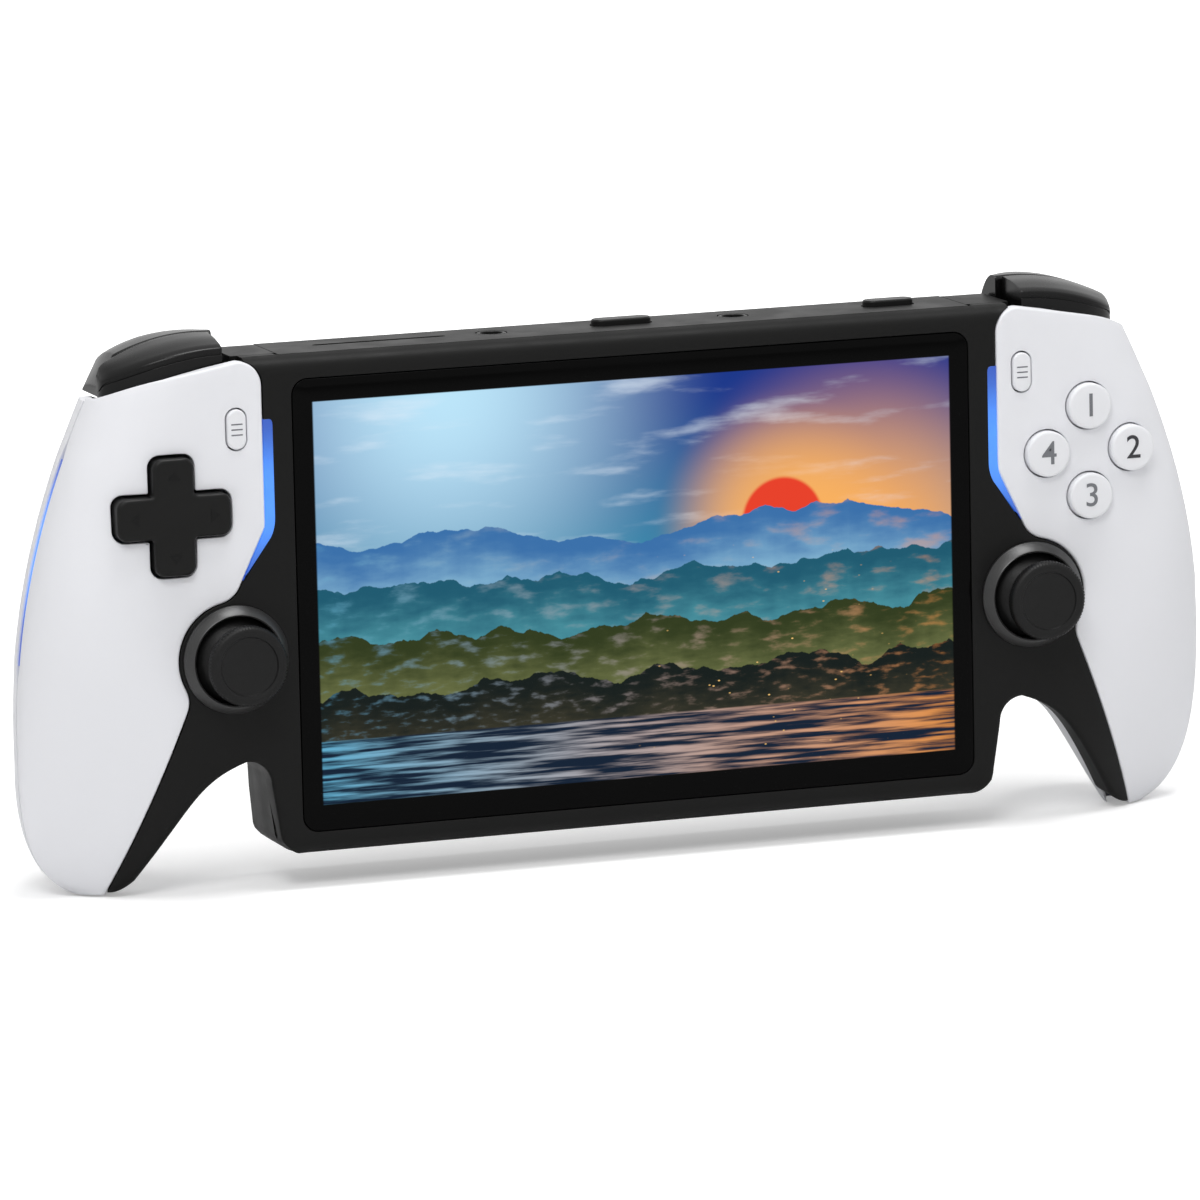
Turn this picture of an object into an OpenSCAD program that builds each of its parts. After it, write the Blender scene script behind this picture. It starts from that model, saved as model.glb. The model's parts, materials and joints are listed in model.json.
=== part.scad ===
// Handheld game console: a flat middle body with a 5 inch screen between two swept grips.
// Units are millimetres. The screen faces -Y, +X is the player's right, +Z is up.

/* [Screen] */
// Width of the lit display area
lcd_w = 108; // [100:0.5:116]
// Height of the lit display area
lcd_h = 64.8; // [60:0.2:70]
// Lens border left and right of the display
lens_side = 3.3; // [2.5:0.1:5]
// Lens border above the display
lens_top = 3.7; // [2.5:0.1:5]
// Lens border below the display
lens_bottom = 4.2; // [2.5:0.1:5]
// Thickness of the lens
lens_t = 1.1; // [0.7:0.1:1.5]
// Corner radius of the lens
lens_r = 2.5; // [1:0.1:4]

/* [Middle body] */
// Frame beside the lens
bezel_side = 5; // [4:0.1:7]
// Frame above the lens
bezel_top = 3.9; // [3:0.1:6]
// Frame below the lens
bezel_bottom = 3.8; // [3:0.1:6]
// Thickness of the front frame
frame_t = 4; // [3.6:0.1:5]
// Depth of the middle body
body_depth = 18; // [17:0.5:22]
// Wall of the rear cover and the grip shells
wall = 2; // [1.6:0.1:2.4]
// Rounding of the front edges of the frame
front_round = 2.6; // [1:0.1:3]
// Rounding of the rear edges of the cover
rear_round = 6; // [3:0.5:7]
// Gap between fitted cases
gap = 0.15; // [0.1:0.05:0.25]

/* [Grips] */
// How far a grip reaches beyond the frame
grip_reach = 38.9; // [36:0.5:44]
// How far the grip tips hang below the middle body
grip_drop = 5.7; // [3:0.5:12]
// Depth of a grip at its thickest
grip_depth = 31; // [29:0.5:36]
// Depth of the seam between front panel and rear shell
seam_depth = 11; // [10:0.5:13]
// Thickness of the front panels
panel_t = 2; // [1.6:0.1:2.4]
// Rounding of a front panel towards its outer seam
panel_round = 15; // [10:0.5:18]
// Radius to which the grip legs bend back
leg_bend_r = 57.5; // [50:0.5:80]
// Radius of the arch between middle body and leg
arch_r = 4; // [3:0.1:5]
// Height of the arch above the bottom of the middle body
arch_h = 15.8; // [14:0.2:18]
// Width of the light guides
light_w = 1.2; // [0.8:0.1:1.6]

/* [Thumb sticks] */
// Diameter of a stick cap
cap_d = 13; // [11:0.1:13.6]
// Height of a stick cap
cap_h = 2.4; // [1.8:0.1:2.8]
// Height of a stick cap above the frame
stick_rise = 7.8; // [7.4:0.1:9]
// Outer diameter of the collar
collar_d = 17.4; // [16:0.1:17.6]
// Height of the collar above the frame
collar_rise = 2.2; // [1:0.1:2.4]
// Radius of the dome skirt
dome_r = 8.6; // [8.4:0.1:9]
// Tilt of a stick each way, in degrees
stick_tilt = 14; // [8:1:14]

/* [Keys] */
// Span of the cross key
dpad_span = 19.4; // [17:0.1:21]
// Width of an arm of the cross key
dpad_arm = 7.2; // [6.8:0.1:8]
// Height of the cross key above its panel
dpad_rise = 1.6; // [1:0.1:2.4]
// Diameter of a face button
face_d = 8; // [7:0.1:8.4]
// Distance of a face button from the middle of the four
face_pitch = 7.4; // [7.1:0.1:8.5]
// Height of a face button above its panel
face_rise = 1.2; // [0.6:0.1:1.8]
// Width of a pill button
pill_w = 3.6; // [3:0.1:4.2]
// Length of a pill button
pill_l = 7; // [6:0.1:8]
// Height of a pill button above its panel
pill_rise = 0.4; // [0.2:0.1:0.8]
// Gap round the keys
key_gap = 0.25; // [0.2:0.05:0.35]
// Travel of the keys
key_travel = 1.2; // [0.8:0.1:1.4]

/* [Shoulders] */
// Height of the shoulder keys above the middle body
shoulder_rise = 3.7; // [2.6:0.1:4.6]
// Swing of a trigger, in degrees
trigger_swing = 12; // [6:1:14]
// Diameter of the shoulder pins
pin_d = 1.8; // [1.4:0.1:2.2]

/* [Top strip] */
// Bore of the round sockets
jack_bore = 3.6; // [3.2:0.1:4]
// Outer diameter of the round sockets
jack_d = 4.9; // [4.6:0.1:5.6]
// Depth of the round sockets
jack_l = 14; // [12:0.5:15]
// Length of the speaker slot
slot_l = 22.3; // [16:0.1:26]
// Width of the speaker slot
slot_w = 1.2; // [0.8:0.1:2]
// Length of the volume key
volume_l = 10; // [8:0.1:12]
// Length of the power key
power_l = 8.5; // [7:0.1:10]
// Height of the top keys above the strip
top_key_rise = 1; // [0.6:0.1:1.4]

/* [Hidden] */
$fn = 48;

// Radial clearance of turning pins, and how far a cutting shape passes what it cuts
run_gap = 0.06;
cut = 1;

// Middle body, measured from the middle of the display
lens_x = lcd_w / 2 + lens_side;
half_w = lens_x + bezel_side;
lens_hi = lcd_h / 2 + lens_top;
lens_lo = -lcd_h / 2 - lens_bottom;
body_top = lens_hi + bezel_top;
body_bottom = lens_lo - bezel_bottom;
chin_r = 4;
chin_taper = 1.2;
chin_x = half_w - chin_taper;
cover_y = frame_t + gap;
cover_top_r = 3;

// Grip outline
tip_inset = 11.7;
wide_h = 21.6;
outer_r = 134;
outer_n = 3;
tip_z = body_bottom - grip_drop;
wide_x = half_w + grip_reach;
tip_x = wide_x - tip_inset;
wide_z = body_bottom + wide_h;
panel_step = 0.3;
panel_top = body_top - panel_step;
panel_corner_r = 5;
corner_drop = 5.3;
arch_z = body_bottom + arch_h;
arch_x = half_w + arch_r;
leg_ease = 3.3;
leg_blend = 1.1;
leg_slope = (tip_x - arch_x - leg_ease) / (arch_z - tip_z);
tip_cut = 0.1;

// Thumb stick places
stick_out = 5.6;
stick_drop = 47.8;
stick_x = half_w + stick_out;
stick_z = body_top - stick_drop;
plate_r = 9.3;
plate_fillet = 2.5;
pivot_y = 5;
dome_gap = 0.4;

// Key places
key_out = 15.6;
key_drop = 24.4;
pill_out = 4.4;
pill_drop = 11.1;
key_x = half_w + key_out;
key_z = body_top - key_drop;
pill_x = half_w + pill_out;
pill_z = body_top - pill_drop;
kink_drop = 27;
kink_z = body_top - kink_drop;
light_drop = 9.6;
light_hi = body_top - light_drop;
light_share = 0.82;

// Overall place: the tips stand on the ground and the depth is centred
place_y = -(grip_depth - stick_rise) / 2;
place_z = -tip_z - tip_cut;

// Bend line of the legs, from the arch to the cusp below the stick plate
stick_at = [stick_x, stick_z];
cusp = stick_at + plate_r * [cos(45), -sin(45)];
bend_dir = (cusp - [arch_x, arch_z]) / norm(cusp - [arch_x, arch_z]);
bend_out = [bend_dir[1], -bend_dir[0]];

// Depth of the grips: how the seam, the back and the inner rim run
seam_fall = 1.5;
back_top_drop = 3;
back_n = 2.5;
tip_back = seam_depth + 5;
rim_blend = 9;
round_share = 0.92;
roll_n = 2.3;
top_fade = 20;
shell_fade = 14;
shell_step = 0.6;
shell_top = panel_top - corner_drop - shell_step;
shell_apex = 0.45;
shell_n = 2.4;
side_light_z = [wide_z + 12, body_top - 19];
light_fade = 3;

// Shoulder keys
shoulder_out = 5.6;
shoulder_l = 19.8;
shoulder_x = [half_w + shoulder_out, half_w + shoulder_out + shoulder_l];
crown_fall = 0.0145;
ridge_fall = 0.0102;
ridge_drop = 1.9;
bumper_back = seam_depth;
bumper_gap = 0.6;
bumper_lean = 1;
bumper_t = 1.7;
bumper_skirt = body_top - 6;
bumper_pin = [bumper_back - 1.2, body_top - 3.8];
trigger_pin = [bumper_back + 5.5, body_top - 5];
trigger_front = bumper_back + 0.5;
trigger_x = [arch_x + 0.6, shoulder_x[1] - 0.4];
trigger_bottom = shell_top + 0.4;
trigger_inset = 0.3;
hub_x = [shoulder_x[0] + 4.2, shoulder_x[0] + 10.6];
hub_r = 2.1;
ear_t = 1.6;
ear_r = 2.1;
ear_gap = 0.4;
ear_x = [hub_x[0] - ear_gap - ear_t, hub_x[1] + ear_gap];
deck_drop = 11.4;
deck_t = 1.8;
deck_z = [body_top - deck_drop, body_top - deck_drop + deck_t];
swing_slope = tan(trigger_swing + 1);
swing_gap = 0.5;
curtain_t = 1.2;
curtain_front = trigger_pin[0] + 5.5;
curtain_z = shell_top - swing_slope * (grip_depth - back_top_drop - trigger_pin[0]) - 1;

// Top strip, its sockets, slot and keys
strip_out = 1.3;
strip_x = lens_x + strip_out;
strip_y = [front_round, body_depth - wall - gap];
strip_t = 2.5;
strip_ledge = 4;
jack_back = 0.7;
jack_in = 36.7;
jack_x = lens_x - jack_in;
jack_y = (strip_y[0] + strip_y[1]) / 2 + jack_back;
jack_floor = 1.5;
jack_case = [7, 6.4];
slot_in = 6.6;
slot_x = -lens_x + slot_in;
volume_x = 1.4;
power_in = 9.9;
power_x = lens_x - power_in;
top_key_w = 3.4;
top_foot_t = 1;
top_foot_w = 0.7;

// Screws of the rear cover
screw_pts = [[lens_x - 0.3, lens_hi - 10.1], [lens_x - 3.3, lens_lo + 2.6], [20, lens_lo + 2.6]];
screw_r = 2.2;
screw_shank_r = 1.1;
screw_head = 1.4;
screw_sink = 0.3;
boss_r = 3.4;

// Display, boards and battery
lcd_rim = 0.7;
lcd_t = 2.4;
window_rim = 1;
lcd_y = [lens_t, lens_t + lcd_t];
layer_gap = 0.5;
pcb_y = lcd_y[1] + layer_gap;
pcb_t = 1.4;
pcb_side = 6;
pcb_low = 5.4;
pcb_high = 2.4;
battery_w = 80;
battery_h = 37;
battery_low = 7.4;
battery_r = 2;
speaker_w = 7;
speaker_h = 6.6;
speaker_gap = 0.4;

// Keys, their flanges, rubber sheets and boards
flange_t = 1;
flange_w = 0.8;
face_bevel = 0.4;
pill_flange_w = 0.6;
flange_gap = 0.2;
flange_y = panel_t + flange_gap + panel_y(key_x + face_pitch + face_d / 2 + flange_w, key_z, half_w);
rubber_t = 1.2;
board_t = 1.2;
stack_gap = 0.1;
board_half = 12;
board_in = 8.6;
board_tab = [2, 4];
post_r = 1.2;
post_in = 2;
dpad_r = 1.2;
dpad_tilt = 5;
dpad_pivot = 1;
dpad_disc_r = dpad_span / 2 - 0.6;
dpad_back = panel_t + flange_gap + dpad_disc_r * sin(sqrt(2) * dpad_tilt)
    + panel_y(key_x + dpad_disc_r, key_z, half_w);
dpad_well_r = 2.9;
dpad_lid = 1.5;
spider_r = 0.7;
spider_l = [2.2, 3.7];
post_d = 4.6;
fork_w = 2;

// Thumb sticks
collar_w = 1.5;
collar_bevel = [1.2, 1.4];
cap_y = [-stick_rise, -stick_rise + cap_h];
cap_bevel = 0.5;
cap_rim = 1.6;
cap_dish = 0.5;
skirt_t = 0.9;
skirt_a = 58 + stick_tilt;
neck_a = 24;
shaft_r = 2;
shaft_tail = 2;
yoke_r = [3.3, 4.9];
yoke_t = 3;
axle_r = 0.8;
axle_l = 6.6;
base_half = 7;
base_y = [pivot_y + 3.6, body_depth - wall - gap];
base_ear_x = [5.3, 6.8];
base_ear_h = 1.7;

function clamp(v, lo, hi) = min(max(v, lo), hi);
function lerp(a, b, t) = a + (b - a) * t;
function ease(t) = (1 - cos(180 * clamp(t, 0, 1))) / 2;

// Outer edge of a grip at height z
function outer_x(z) = z > wide_z
    ? wide_x - pow(z - wide_z, 2) / (2 * outer_r)
    : tip_x + tip_inset * sqrt(max(0, 1 - pow((wide_z - z) / (wide_z - tip_z), outer_n)));

// Inner edge of a leg at height z, straight up above the arch
function leg_x(z) = z > arch_z
    ? arch_x
    : arch_x + leg_slope * (arch_z - z) + leg_ease * (1 - exp((z - arch_z) / leg_blend));

// How far a point lies beyond the bend line, and how deep the bent surface is there
function past_bend(x, z) = max(0, ([x, z] - [arch_x, arch_z]) * bend_out);
function bend_y(x, z, in = 0) = past_bend(x, z) == 0
    ? in
    : leg_bend_r - sqrt(pow(leg_bend_r - in, 2) - pow(past_bend(x, z), 2));

// Depth of the seam with its half width, of the back and of the inner rim of a grip at height z
function seam_y(z) = seam_depth + seam_fall * ease((wide_z - z) / (wide_z - tip_z));
function seam_half(z) = gap + light_w / 2
    * clamp(1 + min(z - side_light_z[0], side_light_z[1] - z) / light_fade, 0, 1);
function back_y(z) = z > wide_z
    ? grip_depth - back_top_drop * pow((z - wide_z) / (body_top - wide_z), 2)
    : tip_back + (grip_depth - tip_back) * sqrt(max(0, 1 - pow((wide_z - z) / (wide_z - tip_z), back_n)));
function rim_y(x, z) = lerp(
    body_depth - wall,
    bend_y(x, z, frame_t + 2 * gap),
    ease((arch_z + rim_blend - z) / rim_blend));

// Front surface of a panel whose inner edge is at x0
function round_w(z, x0) = min(panel_round, round_share * (outer_x(z) - x0));
function roll(t, n) = 1 - pow(1 - pow(clamp(t, 0, 1), n), 1 / n);
function panel_y(x, z, x0) = let (
        base = bend_y(x, z),
        u = clamp(1 - (outer_x(z) - x) / round_w(z, x0), 0, 1))
    base + (seam_y(z) - seam_half(z) - base) * roll(u, roll_n);

// Fillet between the stick plate and a line from p along d: its centre, before or beyond the plate
function unit(v) = v / norm(v);
function turn(v) = [-v[1], v[0]];
function bearing(v) = atan2(v[1], v[0]);
function fillet_at(p, d, way) = let (
        q = p + plate_fillet * turn(d) - stick_at,
        b = q * d,
        t = -b + way * sqrt(b * b - q * q + pow(plate_r + plate_fillet, 2)))
    stick_at + q + t * d;
function fillet_foot(c, d) = c - plate_fillet * turn(d);
function arc(c, r, a0, a1, n) = [for (k = [0:n]) c + r * [cos(lerp(a0, a1, k / n)), sin(lerp(a0, a1, k / n))]];

kink = [half_w, kink_z];
kink_dir = unit(stick_at + [0, plate_r] - kink);
leg_dir = unit([tip_x, tip_z] - cusp);
upper_fillet = fillet_at(kink, kink_dir, -1);
lower_fillet = fillet_at(cusp, leg_dir, 1);

// Inner boundary of a panel, top to tip: corner, straight, kink, stick plate, leg
function boundary(g) = let (
        up = bearing(upper_fillet - stick_at),
        low = bearing(lower_fillet - stick_at),
        fillet_r = plate_fillet + g)
    concat(
        arc([half_w, panel_top] + panel_corner_r * [1, -1], panel_corner_r + g, 90, 180, 5),
        [for (t = [0.2:0.2:1]) [half_w - g, lerp(panel_top - panel_corner_r, kink_z, t)]],
        [for (t = [0.33, 0.67]) lerp(kink, fillet_foot(upper_fillet, kink_dir), t) - [g, 0]],
        arc(upper_fillet, fillet_r, bearing(-turn(kink_dir)), up - 180, 4),
        [for (k = [1:7]) arc(stick_at, plate_r - g, up, low, 8)[k]],
        arc(lower_fillet, fillet_r, low + 180, bearing(-turn(leg_dir)) + 360, 4),
        [for (t = [0.1, 0.2, 0.32, 0.44, 0.56, 0.67, 0.77, 0.86, 0.92, 0.97])
            lerp(fillet_foot(lower_fillet, leg_dir), [tip_x, tip_z], t) - [g, 0]]);

// Helpers
module place() { translate([0, place_y, place_z]) children(); }
module side(s) { if (s < 0) mirror([1, 0, 0]) children(); else children(); }
module both() { children(); mirror([1, 0, 0]) children(); }
module slice_y(y0, y1) { translate([0, y1, 0]) rotate([90, 0, 0]) linear_extrude(y1 - y0) children(); }
module slice_x(x0, x1) { translate([x0, 0, 0]) rotate([90, 0, 90]) linear_extrude(x1 - x0) children(); }
module rod_y(x, z, y0, y1, r) { translate([x, y1, z]) rotate([90, 0, 0]) cylinder(h = y1 - y0, r = r); }
module rod_x(y, z, x0, x1, r) { translate([x0, y, z]) rotate([0, 90, 0]) cylinder(h = x1 - x0, r = r); }
module block(x, y, z) { translate([x[0], y[0], z[0]]) cube([x[1] - x[0], y[1] - y[0], z[1] - z[0]]); }

module round_rect(x0, x1, z0, z1, r) {
    translate([x0 + r, z0]) square([x1 - x0 - 2 * r, z1 - z0]);
    translate([x0, z0 + r]) square([x1 - x0, z1 - z0 - 2 * r]);
    for (x = [x0 + r, x1 - r], z = [z0 + r, z1 - r]) translate([x, z]) circle(r);
}

module pill_shape(w, l) {
    square([w, l - w], center = true);
    for (s = [-1, 1]) translate([0, s * (l - w) / 2]) circle(w / 2);
}

module cross_shape(span, arm, r) {
    round_rect(-span / 2, span / 2, -arm / 2, arm / 2, r);
    round_rect(-arm / 2, arm / 2, -span / 2, span / 2, r);
}

// Closed skin between an outer and an inner grid of points
module skin(outer, inner) {
    nr = len(outer);
    nc = len(outer[0]);
    pts = concat([for (row = outer) for (p = row) p], [for (row = inner) for (p = row) p]);
    o = function (i, j) i * nc + j;
    n = function (i, j) nr * nc + i * nc + j;
    strip = function (a, b) [[o(b[0], b[1]), o(a[0], a[1]), n(a[0], a[1])],
                             [o(b[0], b[1]), n(a[0], a[1]), n(b[0], b[1])]];
    polyhedron(pts, concat(
        [for (i = [0:nr - 2], j = [0:nc - 2]) each [
            [o(i, j), o(i, j + 1), o(i + 1, j + 1)], [o(i, j), o(i + 1, j + 1), o(i + 1, j)],
            [n(i, j), n(i + 1, j + 1), n(i, j + 1)], [n(i, j), n(i + 1, j), n(i + 1, j + 1)]]],
        [for (j = [0:nc - 2]) each strip([0, j], [0, j + 1])],
        [for (j = [0:nc - 2]) each strip([nr - 1, j + 1], [nr - 1, j])],
        [for (i = [0:nr - 2]) each strip([i, nc - 1], [i + 1, nc - 1])],
        [for (i = [0:nr - 2]) each strip([i + 1, 0], [i, 0])]));
}

// Solid lofted through closed rings of equal length
module loft(rings) {
    n = len(rings[0]);
    m = len(rings);
    polyhedron([for (r = rings) for (p = r) p], concat(
        [[for (k = [n - 1:-1:0]) k]],
        [for (i = [0:m - 2], k = [0:n - 1]) let (a = i * n + k, b = i * n + (k + 1) % n) each [
            [a, b, a + n], [b, b + n, a + n]]],
        [[for (k = [0:n - 1]) (m - 1) * n + k]]));
}

// Front frame: outline of one half as x and z
module frame_half() {
    edge = boundary(gap);
    leg = function (t) [leg_x(lerp(arch_z, tip_z, t)), lerp(arch_z, tip_z, t)];
    polygon(concat(
        [[0, body_top], [half_w + panel_corner_r, body_top]],
        [for (k = [0:len(edge) - 3]) edge[k]],
        [for (t = [0.92:-0.05:0.07]) leg(t)],
        [for (t = [0.04, 0.02, 0.01]) leg(t)],
        [for (a = [90:15:180]) [arch_x, arch_z - arch_r] + arch_r * [cos(a), sin(a)]],
        [for (a = [0:-15:-90]) [chin_x - chin_r, body_bottom + chin_r] + chin_r * [cos(a), sin(a)]],
        [[0, body_bottom]]));
}

// The part of the outline beyond the bend line
module leg_zone() {
    reach = 2 * plate_r;
    polygon([[arch_x, arch_z], cusp + reach * bend_dir, [wide_x, cusp[1] + reach],
        [wide_x, tip_z - cut], [arch_x, tip_z - cut]]);
}

// Tube round the bend axis
module leg_ring(r_out, r_in) {
    h = 2 * wide_x;
    translate([arch_x, leg_bend_r, arch_z]) rotate([0, atan2(bend_dir[0], bend_dir[1]), 0]) difference() {
        cylinder(h = h, r = r_out, center = true, $fn = 96);
        cylinder(h = h + 2 * cut, r = r_in, center = true, $fn = 96);
    }
}

// Light guide beside the screen, widened by g
module light_path(g) {
    w = light_w + g;
    run = stick_at + [0, plate_r] - kink;
    off = -turn(kink_dir);
    edge_x = half_w - gap + g;
    a = [edge_x, kink_z];
    b = a + run * light_share;
    lift = w * tan((bearing(kink_dir) + 90) / 2);
    polygon([[edge_x, light_hi + g], a, b, b + [gap, 0] + off * w,
        [half_w - w, kink_z - lift], [half_w - w, light_hi + g]]);
}

module frame_profile() {
    r = front_round;
    polygon(concat(
        [for (a = [90:15:180]) [r, body_top - r] + r * [cos(a), sin(a)]],
        [for (a = [180:15:270]) [r, body_bottom + r] + r * [cos(a), sin(a)]],
        [[frame_t, body_bottom], [frame_t, body_top]]));
}

module front_frame() {
    well_r = dome_r + dome_gap;
    color([0.13, 0.13, 0.13]) difference() {
        union() {
            intersection() {
                slice_y(0, frame_t) difference() {
                    both() frame_half();
                    both() leg_zone();
                }
                slice_x(-wide_x, wide_x) frame_profile();
            }
            both() intersection() {
                slice_y(0, grip_depth) intersection() {
                    frame_half();
                    leg_zone();
                }
                leg_ring(leg_bend_r, leg_bend_r - frame_t);
            }
        }
        slice_y(-cut, lens_t + gap)
            round_rect(-lens_x - gap, lens_x + gap, lens_lo - gap, lens_hi + gap, lens_r + gap);
        slice_y(-cut, frame_t + cut) square([lcd_w, lcd_h] + 2 * window_rim * [1, 1], center = true);
        both() slice_y(-cut, frame_t + cut) light_path(gap);
        both() translate([stick_x, pivot_y, stick_z]) sphere(well_r);
        both() rod_y(stick_x, stick_z, -cut, pivot_y, sqrt(pow(well_r, 2) - pow(pivot_y, 2)));
        top_pocket(gap);
    }
}

// Top strip
module top_pocket(g) {
    block([-strip_x - g, strip_x + g], [strip_y[0] - g, strip_y[1] + g],
        [body_top - strip_t - g, body_top + cut]);
}

// A pill standing on the strip at x, from height z0 to z1
module top_pill(x, w, l, z0, z1) {
    translate([x, jack_y, z0]) linear_extrude(z1 - z0) rotate(90) pill_shape(w, l);
}

module top_strip() {
    z0 = body_top - strip_t;
    z1 = body_top + cut;
    key_hole_w = top_key_w + 2 * key_gap;
    color([0.16, 0.16, 0.16]) difference() {
        block([-strip_x, strip_x], strip_y, [z0, body_top]);
        for (x = [-jack_x, jack_x])
            translate([x, jack_y, z0 - cut]) cylinder(h = strip_t + 2 * cut, r = jack_d / 2 + gap);
        top_pill(slot_x + slot_l / 2, slot_w, slot_l, z0 - cut, z1);
        top_pill(volume_x, key_hole_w, volume_l + 2 * key_gap, z0 - cut, z1);
        top_pill(power_x, key_hole_w, power_l + 2 * key_gap, z0 - cut, z1);
    }
}

// Rear cover
module cover_outline(inset) {
    shrink = min(inset, chin_r / 2);
    rest = inset - shrink;
    polygon(concat(
        [[-cut, body_top - inset], [arch_x - gap, body_top - inset], [arch_x - gap, arch_z + inset]],
        [for (a = [90:15:180]) [arch_x - gap, arch_z - arch_r] + (arch_r + inset) * [cos(a), sin(a)]],
        [for (a = [0:-15:-90]) [chin_x - chin_r - rest, body_bottom + chin_r + rest]
            + (chin_r - shrink) * [cos(a), sin(a)]],
        [[-cut, body_bottom + inset]]));
}

// Side profile with rounded rear edges
module cover_profile(inset) {
    r = rear_round;
    q = cover_top_r;
    polygon(concat(
        [[0, body_bottom + inset]],
        [for (a = [-90:15:0]) [body_depth - r, body_bottom + r] + (r - inset) * [cos(a), sin(a)]],
        [for (a = [0:15:90]) [body_depth - q, body_top - q] + max(tip_cut, q - inset) * [cos(a), sin(a)]],
        [[0, body_top - inset]]));
}

// Plan of the chin, with rounded rear corners
module chin_plan(inset) {
    r = rear_round;
    polygon(concat(
        [[-cut, 0], [arch_x, 0], [arch_x, 2 * cover_y]],
        [for (a = [0:15:90]) [half_w + 2 * gap - r, body_depth - r] + (r - inset) * [cos(a), sin(a)]],
        [[-cut, body_depth - inset]]));
}

// Solid of the cover, from y0 on, shrunk by inset
module cover_form(y0, inset) {
    intersection() {
        slice_y(y0, body_depth - inset) both() cover_outline(inset);
        slice_x(-wide_x, wide_x) cover_profile(inset);
        union() {
            block([-wide_x, wide_x], [0, body_depth], [arch_z, body_top]);
            translate([0, 0, body_bottom]) linear_extrude(arch_h + cut) both() chin_plan(inset);
        }
    }
}

module rear_cover() {
    color([0.11, 0.11, 0.11]) difference() {
        cover_form(cover_y, 0);
        difference() {
            cover_form(cover_y - cut, wall);
            both() for (p = screw_pts) rod_y(p[0], p[1], cover_y, body_depth, boss_r);
        }
        both() block([half_w + gap, wide_x], [0, body_depth - wall], [arch_z + wall, body_top - wall]);
        both() for (p = screw_pts) {
            rod_y(p[0], p[1], body_depth - screw_head, body_depth + cut, screw_r + gap);
            rod_y(p[0], p[1], cover_y - cut, body_depth, screw_shank_r + gap);
        }
        top_pocket(gap);
        block([-strip_x + strip_ledge, strip_x - strip_ledge], [cover_y - cut, strip_y[1] - strip_ledge / 2],
            [body_top - strip_t - strip_ledge, body_top + cut]);
    }
}

module case_screws() {
    color([0.35, 0.35, 0.36]) both() for (p = screw_pts) {
        rod_y(p[0], p[1], body_depth - screw_head, body_depth - screw_sink, screw_r);
        rod_y(p[0], p[1], cover_y, body_depth - screw_head, screw_shank_r);
    }
}

// Screen
module screen_lens() {
    color([0.05, 0.05, 0.06]) slice_y(0, lens_t) round_rect(-lens_x, lens_x, lens_lo, lens_hi, lens_r);
}

module lcd_panel() {
    color([0.1, 0.2, 0.45]) slice_y(lcd_y[0], lcd_y[1])
        square([lcd_w, lcd_h] + 2 * lcd_rim * [1, 1], center = true);
}

// Front panels: a point on the skin from boundary point b outwards by the share t
panel_cols = [0, 0.2, 0.4, 0.55, 0.68, 0.79, 0.88, 0.95, 1];
function panel_point(b, t, in) = let (
        w = clamp((b[1] - top_fade) / (panel_top - top_fade), 0, 1),
        z = b[1] - w * corner_drop * t * t,
        x = lerp(b[0], outer_x(z), t),
        y = panel_y(x, z, b[0]))
    [x - in * pow(t, 4), y + in * (1 - pow(t, 6)), z];

// Posts that hold the key board behind a panel
post_pts = [[key_x + board_half - post_in, key_z + board_half - post_in],
    [key_x + board_half - post_in, key_z - board_half + post_in],
    [key_x - board_in + post_in, key_z - board_half + post_in]];

module panel_blank(s) {
    edge = boundary(0);
    skin([for (b = edge) [for (t = panel_cols) panel_point(b, t, 0)]],
        [for (b = edge) [for (t = panel_cols) panel_point(b, t, panel_t)]]);
    for (p = post_pts)
        rod_y(p[0], p[1], panel_y(p[0], p[1], half_w) + panel_t / 2, board_y(s), post_r);
}

module pill_hole() {
    translate([pill_x, 0, pill_z]) slice_y(-cut, board_y(-1))
        pill_shape(pill_w + 2 * key_gap, pill_l + 2 * key_gap);
}

module left_front_panel() {
    color([0.9, 0.9, 0.92]) side(-1) difference() {
        panel_blank(-1);
        translate([key_x, 0, key_z]) slice_y(-cut, board_y(-1))
            cross_shape(dpad_span + 2 * key_gap, dpad_arm + 2 * key_gap, dpad_r + key_gap);
        pill_hole();
    }
}

function face_at(a) = [key_x + face_pitch * cos(a), key_z + face_pitch * sin(a)];

module right_front_panel() {
    color([0.9, 0.9, 0.92]) difference() {
        panel_blank(1);
        for (a = [0:90:270])
            rod_y(face_at(a)[0], face_at(a)[1], -cut, board_y(1), face_d / 2 + key_gap);
        pill_hole();
    }
}

// Rear shells: one height from the outer seam round the back to the inner rim
shell_cols = [0, 0.07, 0.14, 0.21, 0.28, 0.36, 0.43, 0.5, 0.57, 0.64, 0.72, 0.79, 0.86, 0.93, 1];
rim_lean = 1.3;
function shell_xy(z, s, in) = let (
        x0 = leg_x(z) + gap + in * rim_lean,
        x1 = outer_x(z) - in,
        y0 = rim_y(x0, z),
        y1 = seam_y(z) + seam_half(z),
        yb = back_y(z) - in,
        xm = lerp(x0, x1, shell_apex))
    s < 0.5
        ? [xm + (x1 - xm) * pow(cos(180 * s), 2 / shell_n),
           y1 + (yb - y1) * pow(sin(180 * s), 2 / shell_n)]
        : [xm - (xm - x0) * pow(sin(180 * (s - 0.5)), 2 / shell_n),
           y0 + (yb - y0) * pow(cos(180 * (s - 0.5)), 2 / shell_n)];

// The top rim slopes to leave room for the swing of the trigger
function shell_point(z, s, in) = let (
        p = shell_xy(z, s, in),
        w = clamp((z - shell_fade) / (shell_top - shell_fade), 0, 1))
    [p[0], p[1], z - w * swing_slope * max(0, p[1] - trigger_pin[0])];

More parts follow.
